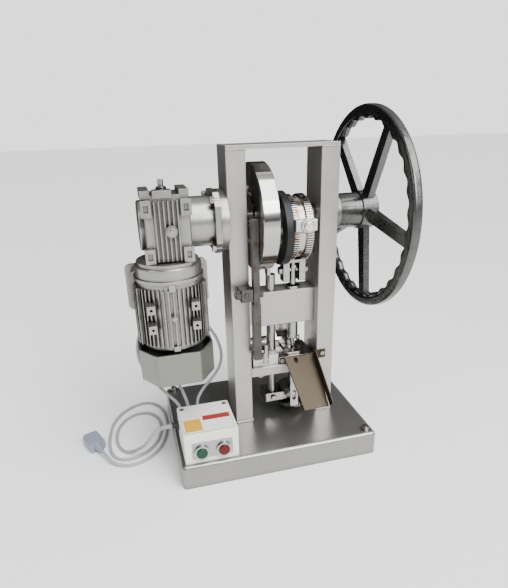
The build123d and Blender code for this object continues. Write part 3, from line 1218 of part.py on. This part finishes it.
mains_plug.part.label = "mains_plug"
export_step(mains_plug.part, "parts/mains_plug.step")
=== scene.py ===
import math
import random

import bmesh
import bpy
from mathutils import Matrix, Vector


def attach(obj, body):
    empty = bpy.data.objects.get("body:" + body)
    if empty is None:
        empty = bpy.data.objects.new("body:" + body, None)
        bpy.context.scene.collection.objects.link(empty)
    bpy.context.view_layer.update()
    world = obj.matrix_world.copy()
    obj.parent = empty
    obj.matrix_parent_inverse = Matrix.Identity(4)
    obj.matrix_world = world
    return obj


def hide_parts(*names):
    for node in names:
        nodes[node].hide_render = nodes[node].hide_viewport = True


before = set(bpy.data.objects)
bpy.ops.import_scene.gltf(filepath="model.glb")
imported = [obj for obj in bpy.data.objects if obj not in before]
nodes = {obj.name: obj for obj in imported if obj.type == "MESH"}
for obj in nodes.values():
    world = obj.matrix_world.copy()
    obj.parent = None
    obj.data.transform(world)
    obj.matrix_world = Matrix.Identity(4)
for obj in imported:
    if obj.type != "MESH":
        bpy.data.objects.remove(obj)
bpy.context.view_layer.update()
MM = 0.001
random.seed(7)


# ---------------------------------------------------------------- camera, light, floor

CAMERA_AT = Vector((-0.2484, -0.9012, 0.6491))
CAMERA_YAW = math.radians(14.27)
CAMERA_PITCH = math.radians(22.31)
CAMERA_ROLL = math.radians(-1.58)
CAMERA_LENS = 29.78
CAMERA_SHIFT = (0.0041, 0.0438)
AIM = Vector((0, 0, 0.3))
FLOOR_SIZE = 30
FLAG_AT = (-0.2, 0.62, 0.5)
FLAG_WIDTH = 2.0
BACKDROP_STRENGTH = 1.9
SKY_STOPS = ((0.46, 0.06), (0.53, 0.10), (0.62, 0.85), (0.74, 0.25))


def place(name, data):
    """A new object with that data in the scene."""
    made = bpy.data.objects.new(name, data)
    bpy.context.scene.collection.objects.link(made)
    return made


def make_camera():
    """The camera, in front of the press, a little to its left and above it."""
    yaw, pitch, roll = CAMERA_YAW, CAMERA_PITCH, CAMERA_ROLL
    ahead = Vector((math.sin(yaw) * math.cos(pitch), math.cos(yaw) * math.cos(pitch), -math.sin(pitch)))
    level = Vector((math.cos(yaw), -math.sin(yaw), 0))
    upward = level.cross(ahead)
    right = level * math.cos(roll) + upward * math.sin(roll)
    up = upward * math.cos(roll) - level * math.sin(roll)
    data = bpy.data.cameras.new("camera")
    data.lens = CAMERA_LENS
    data.sensor_width = 36
    data.shift_x, data.shift_y = CAMERA_SHIFT
    data.clip_start = 0.01
    camera = place("camera", data)
    turn = Matrix((right, up, -ahead)).transposed().to_4x4()
    camera.matrix_world = Matrix.Translation(CAMERA_AT) @ turn
    bpy.context.scene.camera = camera


def area_light(name, at, aim, size, power):
    """A soft rectangular light that points at aim."""
    data = bpy.data.lights.new(name, "AREA")
    data.shape = "RECTANGLE"
    data.size, data.size_y = size
    data.energy = power
    light = place(name, data)
    light.location = at
    light.rotation_euler = (Vector(aim) - Vector(at)).to_track_quat("-Z", "Y").to_euler()


def soft_sun(direction, strength):
    """An even overhead light that reaches the whole floor."""
    data = bpy.data.lights.new("sky", "SUN")
    data.energy = strength
    data.angle = math.radians(50)
    light = place("sky", data)
    light.rotation_euler = Vector(direction).to_track_quat("-Z", "Y").to_euler()


def make_world():
    """A studio all round: a bright band above eye level, dimmer on the left, pale to the camera."""
    world = bpy.data.worlds.new("studio")
    bpy.context.scene.world = world
    world.use_nodes = True
    tree = world.node_tree
    tree.nodes.clear()
    link = tree.links.new
    where = tree.nodes.new("ShaderNodeTexCoord")
    split = tree.nodes.new("ShaderNodeSeparateXYZ")
    link(where.outputs["Generated"], split.inputs[0])
    ramp = tree.nodes.new("ShaderNodeValToRGB")
    low, high = ramp.color_ramp.elements
    low.position = 0.30
    low.color = (0.42, 0.41, 0.40, 1)
    high.position = 1.0
    high.color = (1.0, 1.0, 1.0, 1)
    for position, grey in SKY_STOPS:
        stop = ramp.color_ramp.elements.new(position)
        stop.color = (grey, grey, grey, 1)
    link(remap(tree, split.outputs["Z"], (-1, 1), (0, 1)), ramp.inputs["Fac"])
    lit = tree.nodes.new("ShaderNodeBackground")
    link(ramp.outputs["Color"], lit.inputs["Color"])
    link(remap(tree, split.outputs["X"], (-1, 0.6), (0.25, 1.3)), lit.inputs["Strength"])
    seen = tree.nodes.new("ShaderNodeBackground")
    seen.inputs["Color"].default_value = (1, 1, 1, 1)
    seen.inputs["Strength"].default_value = BACKDROP_STRENGTH
    path = tree.nodes.new("ShaderNodeLightPath")
    mix = tree.nodes.new("ShaderNodeMixShader")
    out = tree.nodes.new("ShaderNodeOutputWorld")
    link(path.outputs["Is Camera Ray"], mix.inputs["Fac"])
    link(lit.outputs[0], mix.inputs[1])
    link(seen.outputs[0], mix.inputs[2])
    link(mix.outputs[0], out.inputs["Surface"])


def make_floor():
    """A pale plain floor."""
    paper = surface("floor_paper", (0.97, 0.97, 0.965), roughness=0.9, mottle=0.005, bump=0.02)
    bpy.ops.mesh.primitive_plane_add(size=FLOOR_SIZE, location=(0, 0, 0))
    floor = bpy.context.object
    floor.name = "floor"
    floor.data.materials.append(paper)


def make_flag():
    """A dark card behind the press, seen only in its polished and painted metal."""
    cloth = surface("flag_cloth", (0.02, 0.02, 0.02), roughness=0.9, specular=0.1)
    bpy.ops.mesh.primitive_plane_add(size=1, location=FLAG_AT, rotation=(math.radians(90), 0, 0))
    flag = bpy.context.object
    flag.name = "flag"
    flag.scale = (FLAG_WIDTH, 1.0, 1)
    flag.visible_camera = False
    flag.visible_shadow = False
    flag.visible_diffuse = False
    flag.data.materials.append(cloth)


# ---------------------------------------------------------------- materials

# Colour of the painted shade that darkens crevices and gaps between parts.
CREVICE_SHADE = (0.035, 0.032, 0.028)
CREVICE_REACH = 12 * MM
GRAIN_HEIGHT = 0.4 * MM


def remap(tree, value, source, target):
    """A value carried from one range to another."""
    made = tree.nodes.new("ShaderNodeMapRange")
    made.inputs["From Min"].default_value, made.inputs["From Max"].default_value = source
    made.inputs["To Min"].default_value, made.inputs["To Max"].default_value = target
    tree.links.new(value, made.inputs["Value"])
    return made.outputs[0]


def noise(tree, vector, scale, detail, roughness=0.5):
    """A noise field's value at a place."""
    made = tree.nodes.new("ShaderNodeTexNoise")
    made.inputs["Scale"].default_value = scale
    made.inputs["Detail"].default_value = detail
    made.inputs["Roughness"].default_value = roughness
    tree.links.new(vector, made.inputs["Vector"])
    return made.outputs["Fac"]


def cover(tree, under, colour, amount):
    """One colour laid over another by an amount."""
    made = tree.nodes.new("ShaderNodeMix")
    made.data_type = "RGBA"
    made.inputs["B"].default_value = (*colour, 1)
    tree.links.new(amount, made.inputs["Factor"])
    if isinstance(under, tuple):
        made.inputs["A"].default_value = (*under, 1)
    else:
        tree.links.new(under, made.inputs["A"])
    return made.outputs["Result"]


def average(tree, first, second):
    """The mean of two values."""
    half = tree.nodes.new("ShaderNodeMath")
    half.operation = "MULTIPLY"
    half.inputs[1].default_value = 0.5
    tree.links.new(second, half.inputs[0])
    made = tree.nodes.new("ShaderNodeMath")
    made.operation = "MULTIPLY_ADD"
    made.inputs[1].default_value = 0.5
    tree.links.new(first, made.inputs[0])
    tree.links.new(half.outputs[0], made.inputs[2])
    return made.outputs[0]


def surface(name, colour, metallic=0.0, roughness=0.5, mottle=0.06, mottle_scale=30, bump=0.1,
            grain_scale=700, stretch=(1, 1, 1), rough_spread=0.12, stain=None, stain_amount=0.45,
            stain_scale=25, specular=0.5, crevice_shade=0.0, edge_r=0.0):
    """A procedural finish: mottled colour, uneven gloss and fine grain.

    It takes a stain in patches, painted shade in its crevices and softly rounded edges where they are given.
    """
    made = bpy.data.materials.new(name)
    made.use_nodes = True
    tree = made.node_tree
    link = tree.links.new
    shader = tree.nodes["Principled BSDF"]
    shader.inputs["Metallic"].default_value = metallic
    shader.inputs["Specular IOR Level"].default_value = specular
    where = tree.nodes.new("ShaderNodeTexCoord").outputs["Object"]
    spread = tree.nodes.new("ShaderNodeMapping")
    spread.inputs["Scale"].default_value = stretch
    link(where, spread.inputs["Vector"])
    cloud = noise(tree, where, mottle_scale, 6)
    grain = noise(tree, spread.outputs["Vector"], grain_scale, 3)

    dark = tuple(c * (1 - 2.2 * mottle) for c in colour)
    light = tuple(min(1, c * (1 + 2.2 * mottle)) for c in colour)
    paint = cover(tree, dark, light, cloud)
    if stain:
        patch = noise(tree, where, stain_scale, 8, 0.65)
        paint = cover(tree, paint, stain, remap(tree, patch, (1 - stain_amount, 1.12 - stain_amount), (0, 1)))
    # Painted shade: an ambient-occlusion mask darkens the base colour towards near-black in crevices and
    # between parts.
    if crevice_shade:
        crevice = tree.nodes.new("ShaderNodeAmbientOcclusion")
        crevice.samples = 4
        crevice.inputs["Distance"].default_value = CREVICE_REACH
        paint = cover(tree, paint, CREVICE_SHADE, remap(tree, crevice.outputs["AO"], (0.25, 0.85), (crevice_shade, 0.0)))
    link(paint, shader.inputs["Base Color"])

    gloss = (max(0.03, roughness - rough_spread), min(1, roughness + rough_spread))
    link(remap(tree, average(tree, grain, cloud), (0, 1), gloss), shader.inputs["Roughness"])
    relief = tree.nodes.new("ShaderNodeBump")
    relief.inputs["Strength"].default_value = bump
    relief.inputs["Distance"].default_value = GRAIN_HEIGHT
    link(grain, relief.inputs["Height"])
    if edge_r:
        rounded = tree.nodes.new("ShaderNodeBevel")
        rounded.samples = 4
        rounded.inputs["Radius"].default_value = edge_r
        link(rounded.outputs["Normal"], relief.inputs["Normal"])
    link(relief.outputs["Normal"], shader.inputs["Normal"])
    return made


def paint_nodes(material, *names):
    """Gives CAD nodes a finish."""
    for name in names:
        slots = nodes[name].data.materials
        slots.clear()
        slots.append(material)


# Where a finish below is given a crevice amount, that is painted shade laid into its crevices from an
# occlusion mask.
silver_paint = surface("silver_paint", (0.45, 0.435, 0.41), 0.8, 0.36, mottle=0.04, bump=0.12,
                       grain_scale=1500, crevice_shade=0.7, edge_r=0.0012)
beam_paint = surface("beam_paint", (0.46, 0.45, 0.425), 0.7, 0.40, mottle=0.05, bump=0.15, grain_scale=1200,
                     crevice_shade=0.6, edge_r=0.001)
tray_paint = surface("tray_paint", (0.29, 0.285, 0.275), 0.85, 0.30, mottle=0.06, mottle_scale=9, bump=0.1,
                     grain_scale=1600, stain=(0.235, 0.225, 0.21), stain_amount=0.40, stain_scale=14,
                     crevice_shade=0.6)
machined = surface("machined_steel", (0.38, 0.37, 0.355), 1.0, 0.24, mottle=0.10, bump=0.12,
                   grain_scale=300, stretch=(1, 1, 8), stain=(0.20, 0.17, 0.13), stain_amount=0.40,
                   stain_scale=60, crevice_shade=0.9, edge_r=0.0006)
mirror_rim = surface("mirror_rim", (0.42, 0.41, 0.40), 1.0, 0.13, mottle=0.03, bump=0.06, grain_scale=60,
                     stretch=(30, 1, 1), rough_spread=0.05, crevice_shade=0.5, edge_r=0.0008)
dark_ring = surface("dark_ring", (0.02, 0.02, 0.021), 0.6, 0.45, mottle=0.2, bump=0.2)
toothed_steel = surface("toothed_steel", (0.52, 0.50, 0.47), 1.0, 0.22, mottle=0.1, bump=0.15,
                        grain_scale=400, stain=(0.30, 0.11, 0.015), stain_amount=0.47, stain_scale=60,
                        crevice_shade=1.0)
worn_steel = surface("worn_steel", (0.085, 0.083, 0.077), 0.85, 0.42, mottle=0.2, bump=0.3, grain_scale=500,
                     stain=(0.06, 0.045, 0.035), stain_amount=0.46, stain_scale=40, edge_r=0.0008)
ground_cast = surface("ground_cast", (0.66, 0.66, 0.64), 0.6, 0.42, mottle=0.1, bump=0.5, grain_scale=260,
                      crevice_shade=0.5, edge_r=0.0008)
bearing_steel = surface("bearing_steel", (0.25, 0.24, 0.235), 1.0, 0.32, mottle=0.08, crevice_shade=0.8)
sheet_steel = surface("sheet_steel", (0.048, 0.038, 0.024), 0.8, 0.36, mottle=0.14, mottle_scale=14, bump=0.1,
                      grain_scale=500, stretch=(6, 1, 1), stain=(0.03, 0.021, 0.012), stain_amount=0.42,
                      stain_scale=12)
cast_paint = surface("cast_paint", (0.33, 0.325, 0.305), 0.9, 0.30, mottle=0.08, bump=0.4, grain_scale=420,
                     crevice_shade=0.95, edge_r=0.0008)
cowl_paint = surface("cowl_paint", (0.22, 0.222, 0.20), 0.85, 0.34, mottle=0.05, bump=0.2, grain_scale=800,
                     crevice_shade=0.5, edge_r=0.001)
wheel_iron = surface("wheel_iron", (0.115, 0.12, 0.115), 1.0, 0.26, mottle=0.2, bump=0.8, grain_scale=110,
                     stain=(0.07, 0.07, 0.065), stain_amount=0.4, stain_scale=40, crevice_shade=0.7, edge_r=0.001)
hub_steel = surface("hub_steel", (0.42, 0.41, 0.40), 1.0, 0.24, mottle=0.06, bump=0.12, grain_scale=200,
                    stretch=(12, 1, 1), crevice_shade=0.6)
bronze = surface("bronze", (0.45, 0.31, 0.15), 1.0, 0.35, mottle=0.1)
iron = surface("stator_iron", (0.12, 0.12, 0.12), 0.6, 0.6, stretch=(1, 1, 30))
box_plastic = surface("box_plastic", (0.86, 0.85, 0.80), 0.0, 0.42, mottle=0.015, bump=0.12,
                      grain_scale=1800, crevice_shade=0.35, edge_r=0.001)
green_gloss = surface("green_gloss", (0.003, 0.05, 0.025), 0.0, 0.3, mottle=0.05, bump=0.02, specular=0.3)
red_gloss = surface("red_gloss", (0.09, 0.002, 0.004), 0.0, 0.3, mottle=0.05, bump=0.02, specular=0.3)
black_plastic = surface("black_plastic", (0.025, 0.025, 0.027), 0.0, 0.5, mottle=0.1, bump=0.15)
chrome = surface("chrome", (0.42, 0.42, 0.42), 1.0, 0.12, mottle=0.02, bump=0.03, rough_spread=0.05,
                 crevice_shade=0.8)
cord_skin = surface("cord_skin", (0.36, 0.36, 0.39), 0.0, 0.48, mottle=0.03, bump=0.08, grain_scale=1500)
plug_skin = surface("plug_skin", (0.24, 0.27, 0.32), 0.0, 0.42, mottle=0.03, bump=0.08, grain_scale=1500)
label_white = surface("label_white", (0.82, 0.82, 0.80), 0.0, 0.38, mottle=0.01, bump=0.03)
label_red = surface("label_red", (0.33, 0.03, 0.025), 0.0, 0.38, mottle=0.03, bump=0.03)
label_amber = surface("label_amber", (0.68, 0.36, 0.03), 0.0, 0.38, mottle=0.03, bump=0.03)
plate_silver = surface("plate_silver", (0.40, 0.40, 0.40), 0.9, 0.3, mottle=0.03, bump=0.08, grain_scale=900,
                       stretch=(1, 1, 20))
weld_metal = surface("weld_metal", (0.33, 0.32, 0.31), 0.8, 0.36, mottle=0.15, bump=0.4, grain_scale=500)
bolt_cream = surface("bolt_cream", (0.80, 0.76, 0.68), 0.9, 0.3, mottle=0.05, bump=0.1, crevice_shade=0.4)

paint_nodes(silver_paint, "left_column", "right_column", "top_plate")
paint_nodes(beam_paint, "crossbeam", "table_beam")
paint_nodes(tray_paint, "base_tray")
paint_nodes(machined, "frame_fasteners", "gear_retaining_plate", "die", "die_table", "con_rod_screw",
            "wrist_pin", "upper_ram", "upper_punch", "lift_rod", "lift_yoke", "lower_punch",
            "upper_adjusting_gear", "lower_adjusting_gear", "cam_follower", "con_rod_fork", "ram_guide_bush",
            "eccentric_sheave", "worm_shaft", "motor_rotor", "feed_shoe", "gearbox_bolts")
paint_nodes(mirror_rim, "cam_drum")
paint_nodes(dark_ring, "strap_ring")
paint_nodes(toothed_steel, "toothed_ring")
paint_nodes(worn_steel, "feed_lever", "lever_pivot")
paint_nodes(ground_cast, "riser_block", "ring_clamp")
paint_nodes(sheet_steel, "chute")
paint_nodes(cast_paint, "output_flange", "gearbox_housing", "gearbox_cover", "motor_end_shield",
            "motor_housing", "motor_box", "motor_box_lid")
paint_nodes(cowl_paint, "fan_cowl")
paint_nodes(wheel_iron, "handwheel")
paint_nodes(hub_steel, "main_shaft")
paint_nodes(bronze, "worm_wheel")
paint_nodes(bearing_steel, "shaft_bearings")
paint_nodes(iron, "motor_stator")
paint_nodes(box_plastic, "control_box_base", "control_box_lid")
paint_nodes(green_gloss, "green_button")
paint_nodes(red_gloss, "red_button")
paint_nodes(black_plastic, "cooling_fan", "cable_glands")
paint_nodes(chrome, "switch_bodies")
paint_nodes(plug_skin, "mains_plug")


# ---------------------------------------------------------------- visual pieces, in millimetres

SHAFT_Z = 478
TURNED_SIDES = 32
WELD_SIDES = 10
WELD_PITCH = 1.3
FOOT_WELD_R = 2.6
TOP_WELD_R = 1.3
PANEL_BREAK = 0.15
PANEL_SHOULDER = 0.12
GRIP_X = (213, 227)
GRIP_OUTER_R = 180
GRIP_R = 171
GRIP_WAVE = 2.6
GRIP_BREAK = 1.5
GRIP_STEPS = 480
GRIPS = 30
RELIEF_L = 22
RELIEF_R = 5.8
RELIEF_TAPER = 0.32
RELIEF_PITCH = 3.6
RELIEF_RIBS = 6


def piece(name, verts, faces, material, body, smooth=True):
    """A mesh piece in millimetres that rides on a CAD body."""
    data = bpy.data.meshes.new(name)
    data.from_pydata([Vector(v) * MM for v in verts], [], faces)
    made = place(name, data)
    shape = bmesh.new()
    shape.from_mesh(data)
    bmesh.ops.recalc_face_normals(shape, faces=shape.faces)
    shape.to_mesh(data)
    shape.free()
    if smooth:
        data.shade_smooth()
    data.materials.append(material)
    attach(made, body)
    return made


def loft(rings, closed=False):
    """Vertices and faces of a skin over equal rings, closed end to end or capped."""
    count = len(rings[0])
    verts = [v for ring in rings for v in ring]
    faces = []
    for r in range(len(rings) - (0 if closed else 1)):
        nxt = (r + 1) % len(rings)
        for k in range(count):
            m = (k + 1) % count
            faces.append((r * count + k, r * count + m, nxt * count + m, nxt * count + k))
    if not closed:
        faces.append(tuple(range(count - 1, -1, -1)))
        faces.append(tuple((len(rings) - 1) * count + k for k in range(count)))
    return verts, faces


def round_ring(centre, along, radius, count):
    """Points on a circle about a point, square to a direction."""
    along = Vector(along).normalized()
    first = along.orthogonal().normalized()
    second = along.cross(first)
    points = []
    for k in range(count):
        angle = 2 * math.pi * k / count
        points.append(Vector(centre) + radius * (first * math.cos(angle) + second * math.sin(angle)))
    return points


def turned(name, start, along, profile, material, body):
    """A turned piece: profile is (distance, radius) pairs along a direction from start."""
    along = Vector(along).normalized()
    rings = [round_ring(Vector(start) + along * d, along, r, TURNED_SIDES) for d, r in profile]
    verts, faces = loft(rings)
    piece(name, verts, faces, material, body)


def weld_bead(name, start, end, radius):
    """A rippled fillet of weld metal along a seam."""
    start = Vector(start)
    run = Vector(end) - start
    steps = int(run.length / WELD_PITCH)
    rings = []
    for k in range(steps + 1):
        ripple = 0.84 + 0.16 * abs(math.sin(k * 0.9)) + random.uniform(-0.05, 0.05)
        rings.append(round_ring(start + run * (k / steps), run, radius * ripple, WELD_SIDES))
    verts, faces = loft(rings)
    piece(name, verts, faces, weld_metal, "frame")


def panel(name, low, high, corner, material, axis, levels):
    """A thin plate with round corners, square to axis, from the first level to the second."""
    corners = ((high[0] - corner, high[1] - corner, 0), (low[0] + corner, high[1] - corner, 90),
               (low[0] + corner, low[1] + corner, 180), (high[0] - corner, low[1] + corner, 270))
    outline = []
    for across, along, start in corners:
        for step in range(7):
            angle = math.radians(start + step * 15)
            outline.append((across + corner * math.cos(angle), along + corner * math.sin(angle)))
    middle = ((low[0] + high[0]) / 2, (low[1] + high[1]) / 2)
    foot, top = levels
    shoulder = top - PANEL_SHOULDER * (top - foot)
    rings = []
    for level, inset in ((foot, 0), (shoulder, 0), (top, PANEL_BREAK)):
        ring = []
        for u, v in outline:
            u -= math.copysign(inset, u - middle[0])
            v -= math.copysign(inset, v - middle[1])
            ring.append((u, v, level) if axis == "z" else (u, level, v))
        rings.append(ring)
    verts, faces = loft(rings)
    piece(name, verts, faces, material, "frame", smooth=False)


def wheel_grips():
    """The wavy finger grips along the inside of the handwheel's rim."""
    left, right = GRIP_X
    rings = []
    for k in range(GRIP_STEPS):
        angle = 2 * math.pi * k / GRIP_STEPS
        inner = GRIP_R + GRIP_WAVE * math.cos(GRIPS * angle)
        section = (
            (left, GRIP_OUTER_R), (left, inner + GRIP_BREAK), (left + GRIP_BREAK, inner),
            (right - GRIP_BREAK, inner), (right, inner + GRIP_BREAK), (right, GRIP_OUTER_R),
        )
        y, z = math.cos(angle), math.sin(angle)
        rings.append([(x, r * y, SHAFT_Z + r * z) for x, r in section])
    verts, faces = loft(rings, closed=True)
    piece("wheel_grips", verts, faces, wheel_iron, "drive_shaft")


def clamp_bolt():
    """The round head of the bolt in the strap's clamp block."""
    profile = [(-1, 7.5), (0, 9.2), (3.2, 9.4), (4.4, 8.8), (5.0, 7.6), (5.2, 3.0), (5.0, 0.4)]
    turned("clamp_bolt_head", (72, -81, 470), (0, -1, 0), profile, bolt_cream, "strap")


def mains_relief():
    """The ribbed taper where the mains lead leaves its gland."""
    profile = [(-4, 5.6)]
    for rib in range(RELIEF_RIBS):
        at = rib * RELIEF_PITCH
        width = RELIEF_R - rib * RELIEF_TAPER
        profile += [(at, width), (at + 1.9, width - 0.1), (at + 2.1, width - 1.0), (at + 3.4, width - 1.05)]
    profile += [(RELIEF_L, 3.9)]
    turned("mains_relief", MAINS_ROUTE[0], (-1, 0, 0), profile, cord_skin, "frame")


def switch_box_labels():
    """The plate round the buttons and the plain label on the lid."""
    panel("legend_plate", (-178, 60), (-100, 95.4), 2, plate_silver, "y", (-145.9, -146.7))
    panel("top_label_border", (-189, -140), (-92, -85), 2, black_plastic, "z",
          (113.3, 113.65))
    panel("top_label", (-188.2, -139.2), (-92.8, -85.8), 1.6, label_white, "z",
          (113.4, 113.8))
    panel("top_label_band", (-148, -103), (-94.5, -87.5), 1, label_red, "z", (113.7, 114.0))
    panel("top_label_tile", (-186, -135), (-153, -95), 1.5, label_amber, "z", (113.7, 114.0))


def column_welds():
    """The beads round both columns' feet and along the front of the top plate."""
    for tag, left, right in (("left", -67.6, -31.6), ("right", 111, 147)):
        foot_z, top_z = 50.6, 603
        beyond = right + 0.4
        weld_bead(f"weld_foot_front_{tag}", (left, -38.4, foot_z), (right, -38.4, foot_z), FOOT_WELD_R)
        weld_bead(f"weld_foot_back_{tag}", (left, 38.4, foot_z), (right, 38.4, foot_z), FOOT_WELD_R)
        weld_bead(f"weld_foot_left_{tag}", (left - 0.4, -38, foot_z), (left - 0.4, 38, foot_z), FOOT_WELD_R)
        weld_bead(f"weld_foot_right_{tag}", (beyond, -38, foot_z), (beyond, 38, foot_z), FOOT_WELD_R)
        weld_bead(f"weld_top_{tag}", (left, -38.2, top_z), (right, -38.2, top_z), TOP_WELD_R)


# ---------------------------------------------------------------- cords

CORD_D = 6.5 * MM
LEFT_LEAD = [
    (-238, 23, 302), (-238, 23, 280), (-248, 23, 255), (-255, 20, 228), (-254, 16, 202),
    (-243, 14, 176), (-230, 17, 150), (-216, 22, 126), (-200, 23, 105), (-186, 12, 93),
    (-182, -9, 90), (-182, -30, 90),
]
RIGHT_LEAD = [
    (-122, 23, 302), (-122, 23, 280), (-108, 26, 257), (-92, 27, 231), (-83, 25, 202),
    (-82, 24, 174), (-92, 25, 148), (-109, 28, 126), (-127, 28, 107), (-141, 14, 95),
    (-146, -8, 92), (-146, -30, 92),
]
MIDDLE_LEAD = [
    (-187, -12, 197), (-187, -12, 178), (-184, -4, 157), (-179, 9, 137), (-172, 19, 116),
    (-167, 12, 98), (-165, -8, 92), (-165, -30, 92),
]
MAINS_ROUTE = [
    (-206, -60, 84), (-228, -60, 84), (-245, -57, 69), (-256, -50, 50), (-265, -40, 34),
    (-276, -29, 21), (-291, -19, 9), (-308, -5, 3.3), (-320, 20, 3.3), (-323, 54, 3.3),
    (-317, 90, 3.3), (-300, 120, 3.3), (-272, 137, 3.3), (-244, 131, 3.3), (-227, 106, 3.3),
    (-222, 72, 3.3), (-226, 38, 3.3), (-239, 4, 3.3), (-262, -22, 3.3), (-292, -36, 3.3),
    (-319, -30, 3.3), (-334, -6, 3.3), (-338, 30, 3.3), (-336, 70, 3.3), (-330, 108, 3.3),
    (-314, 142, 3.3), (-288, 169, 3.3), (-254, 183, 3.3), (-226, 167, 3.3), (-211, 133, 3.3),
    (-208, 92, 3.3), (-211, 50, 3.3), (-221, 8, 3.3), (-240, -28, 3.3), (-268, -50, 3.3),
    (-300, -56, 3.3), (-329, -44, 7), (-343.1, -22.1, 13), (-352, -2, 13),
]


def make_cord(name, route, stands_for):
    """A round cord on one smooth curve with the route's points as its control points."""
    data = bpy.data.curves.new(name, "CURVE")
    data.dimensions = "3D"
    data.bevel_depth = CORD_D / 2
    data.bevel_resolution = 5
    data.resolution_u = 12
    data.use_fill_caps = True
    spline = data.splines.new("NURBS")
    spline.points.add(len(route) - 1)
    for point, at in zip(spline.points, route):
        point.co = (*[c * MM for c in at], 1)
    spline.order_u = 3
    spline.use_endpoint_u = True
    made = place(name, data)
    made.data.materials.append(cord_skin)
    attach(made, "frame")
    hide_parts(stands_for)


wheel_grips()
clamp_bolt()
mains_relief()
switch_box_labels()
column_welds()
make_cord("motor_lead_left", LEFT_LEAD, "cord_motor_left")
make_cord("motor_lead_right", RIGHT_LEAD, "cord_motor_right")
make_cord("motor_lead_middle", MIDDLE_LEAD, "cord_motor_middle")
make_cord("mains_lead", MAINS_ROUTE, "mains_cord")

make_camera()
make_world()
make_floor()
make_flag()
area_light("key", (0.7, -1.9, 1.5), AIM, (0.9, 0.9), 34)
area_light("window", (-1.5, -0.6, 1.5), (-0.1, 0, 0.35), (0.5, 1.4), 9)
soft_sun((-0.35, 0.5, -1.0), 3.9)
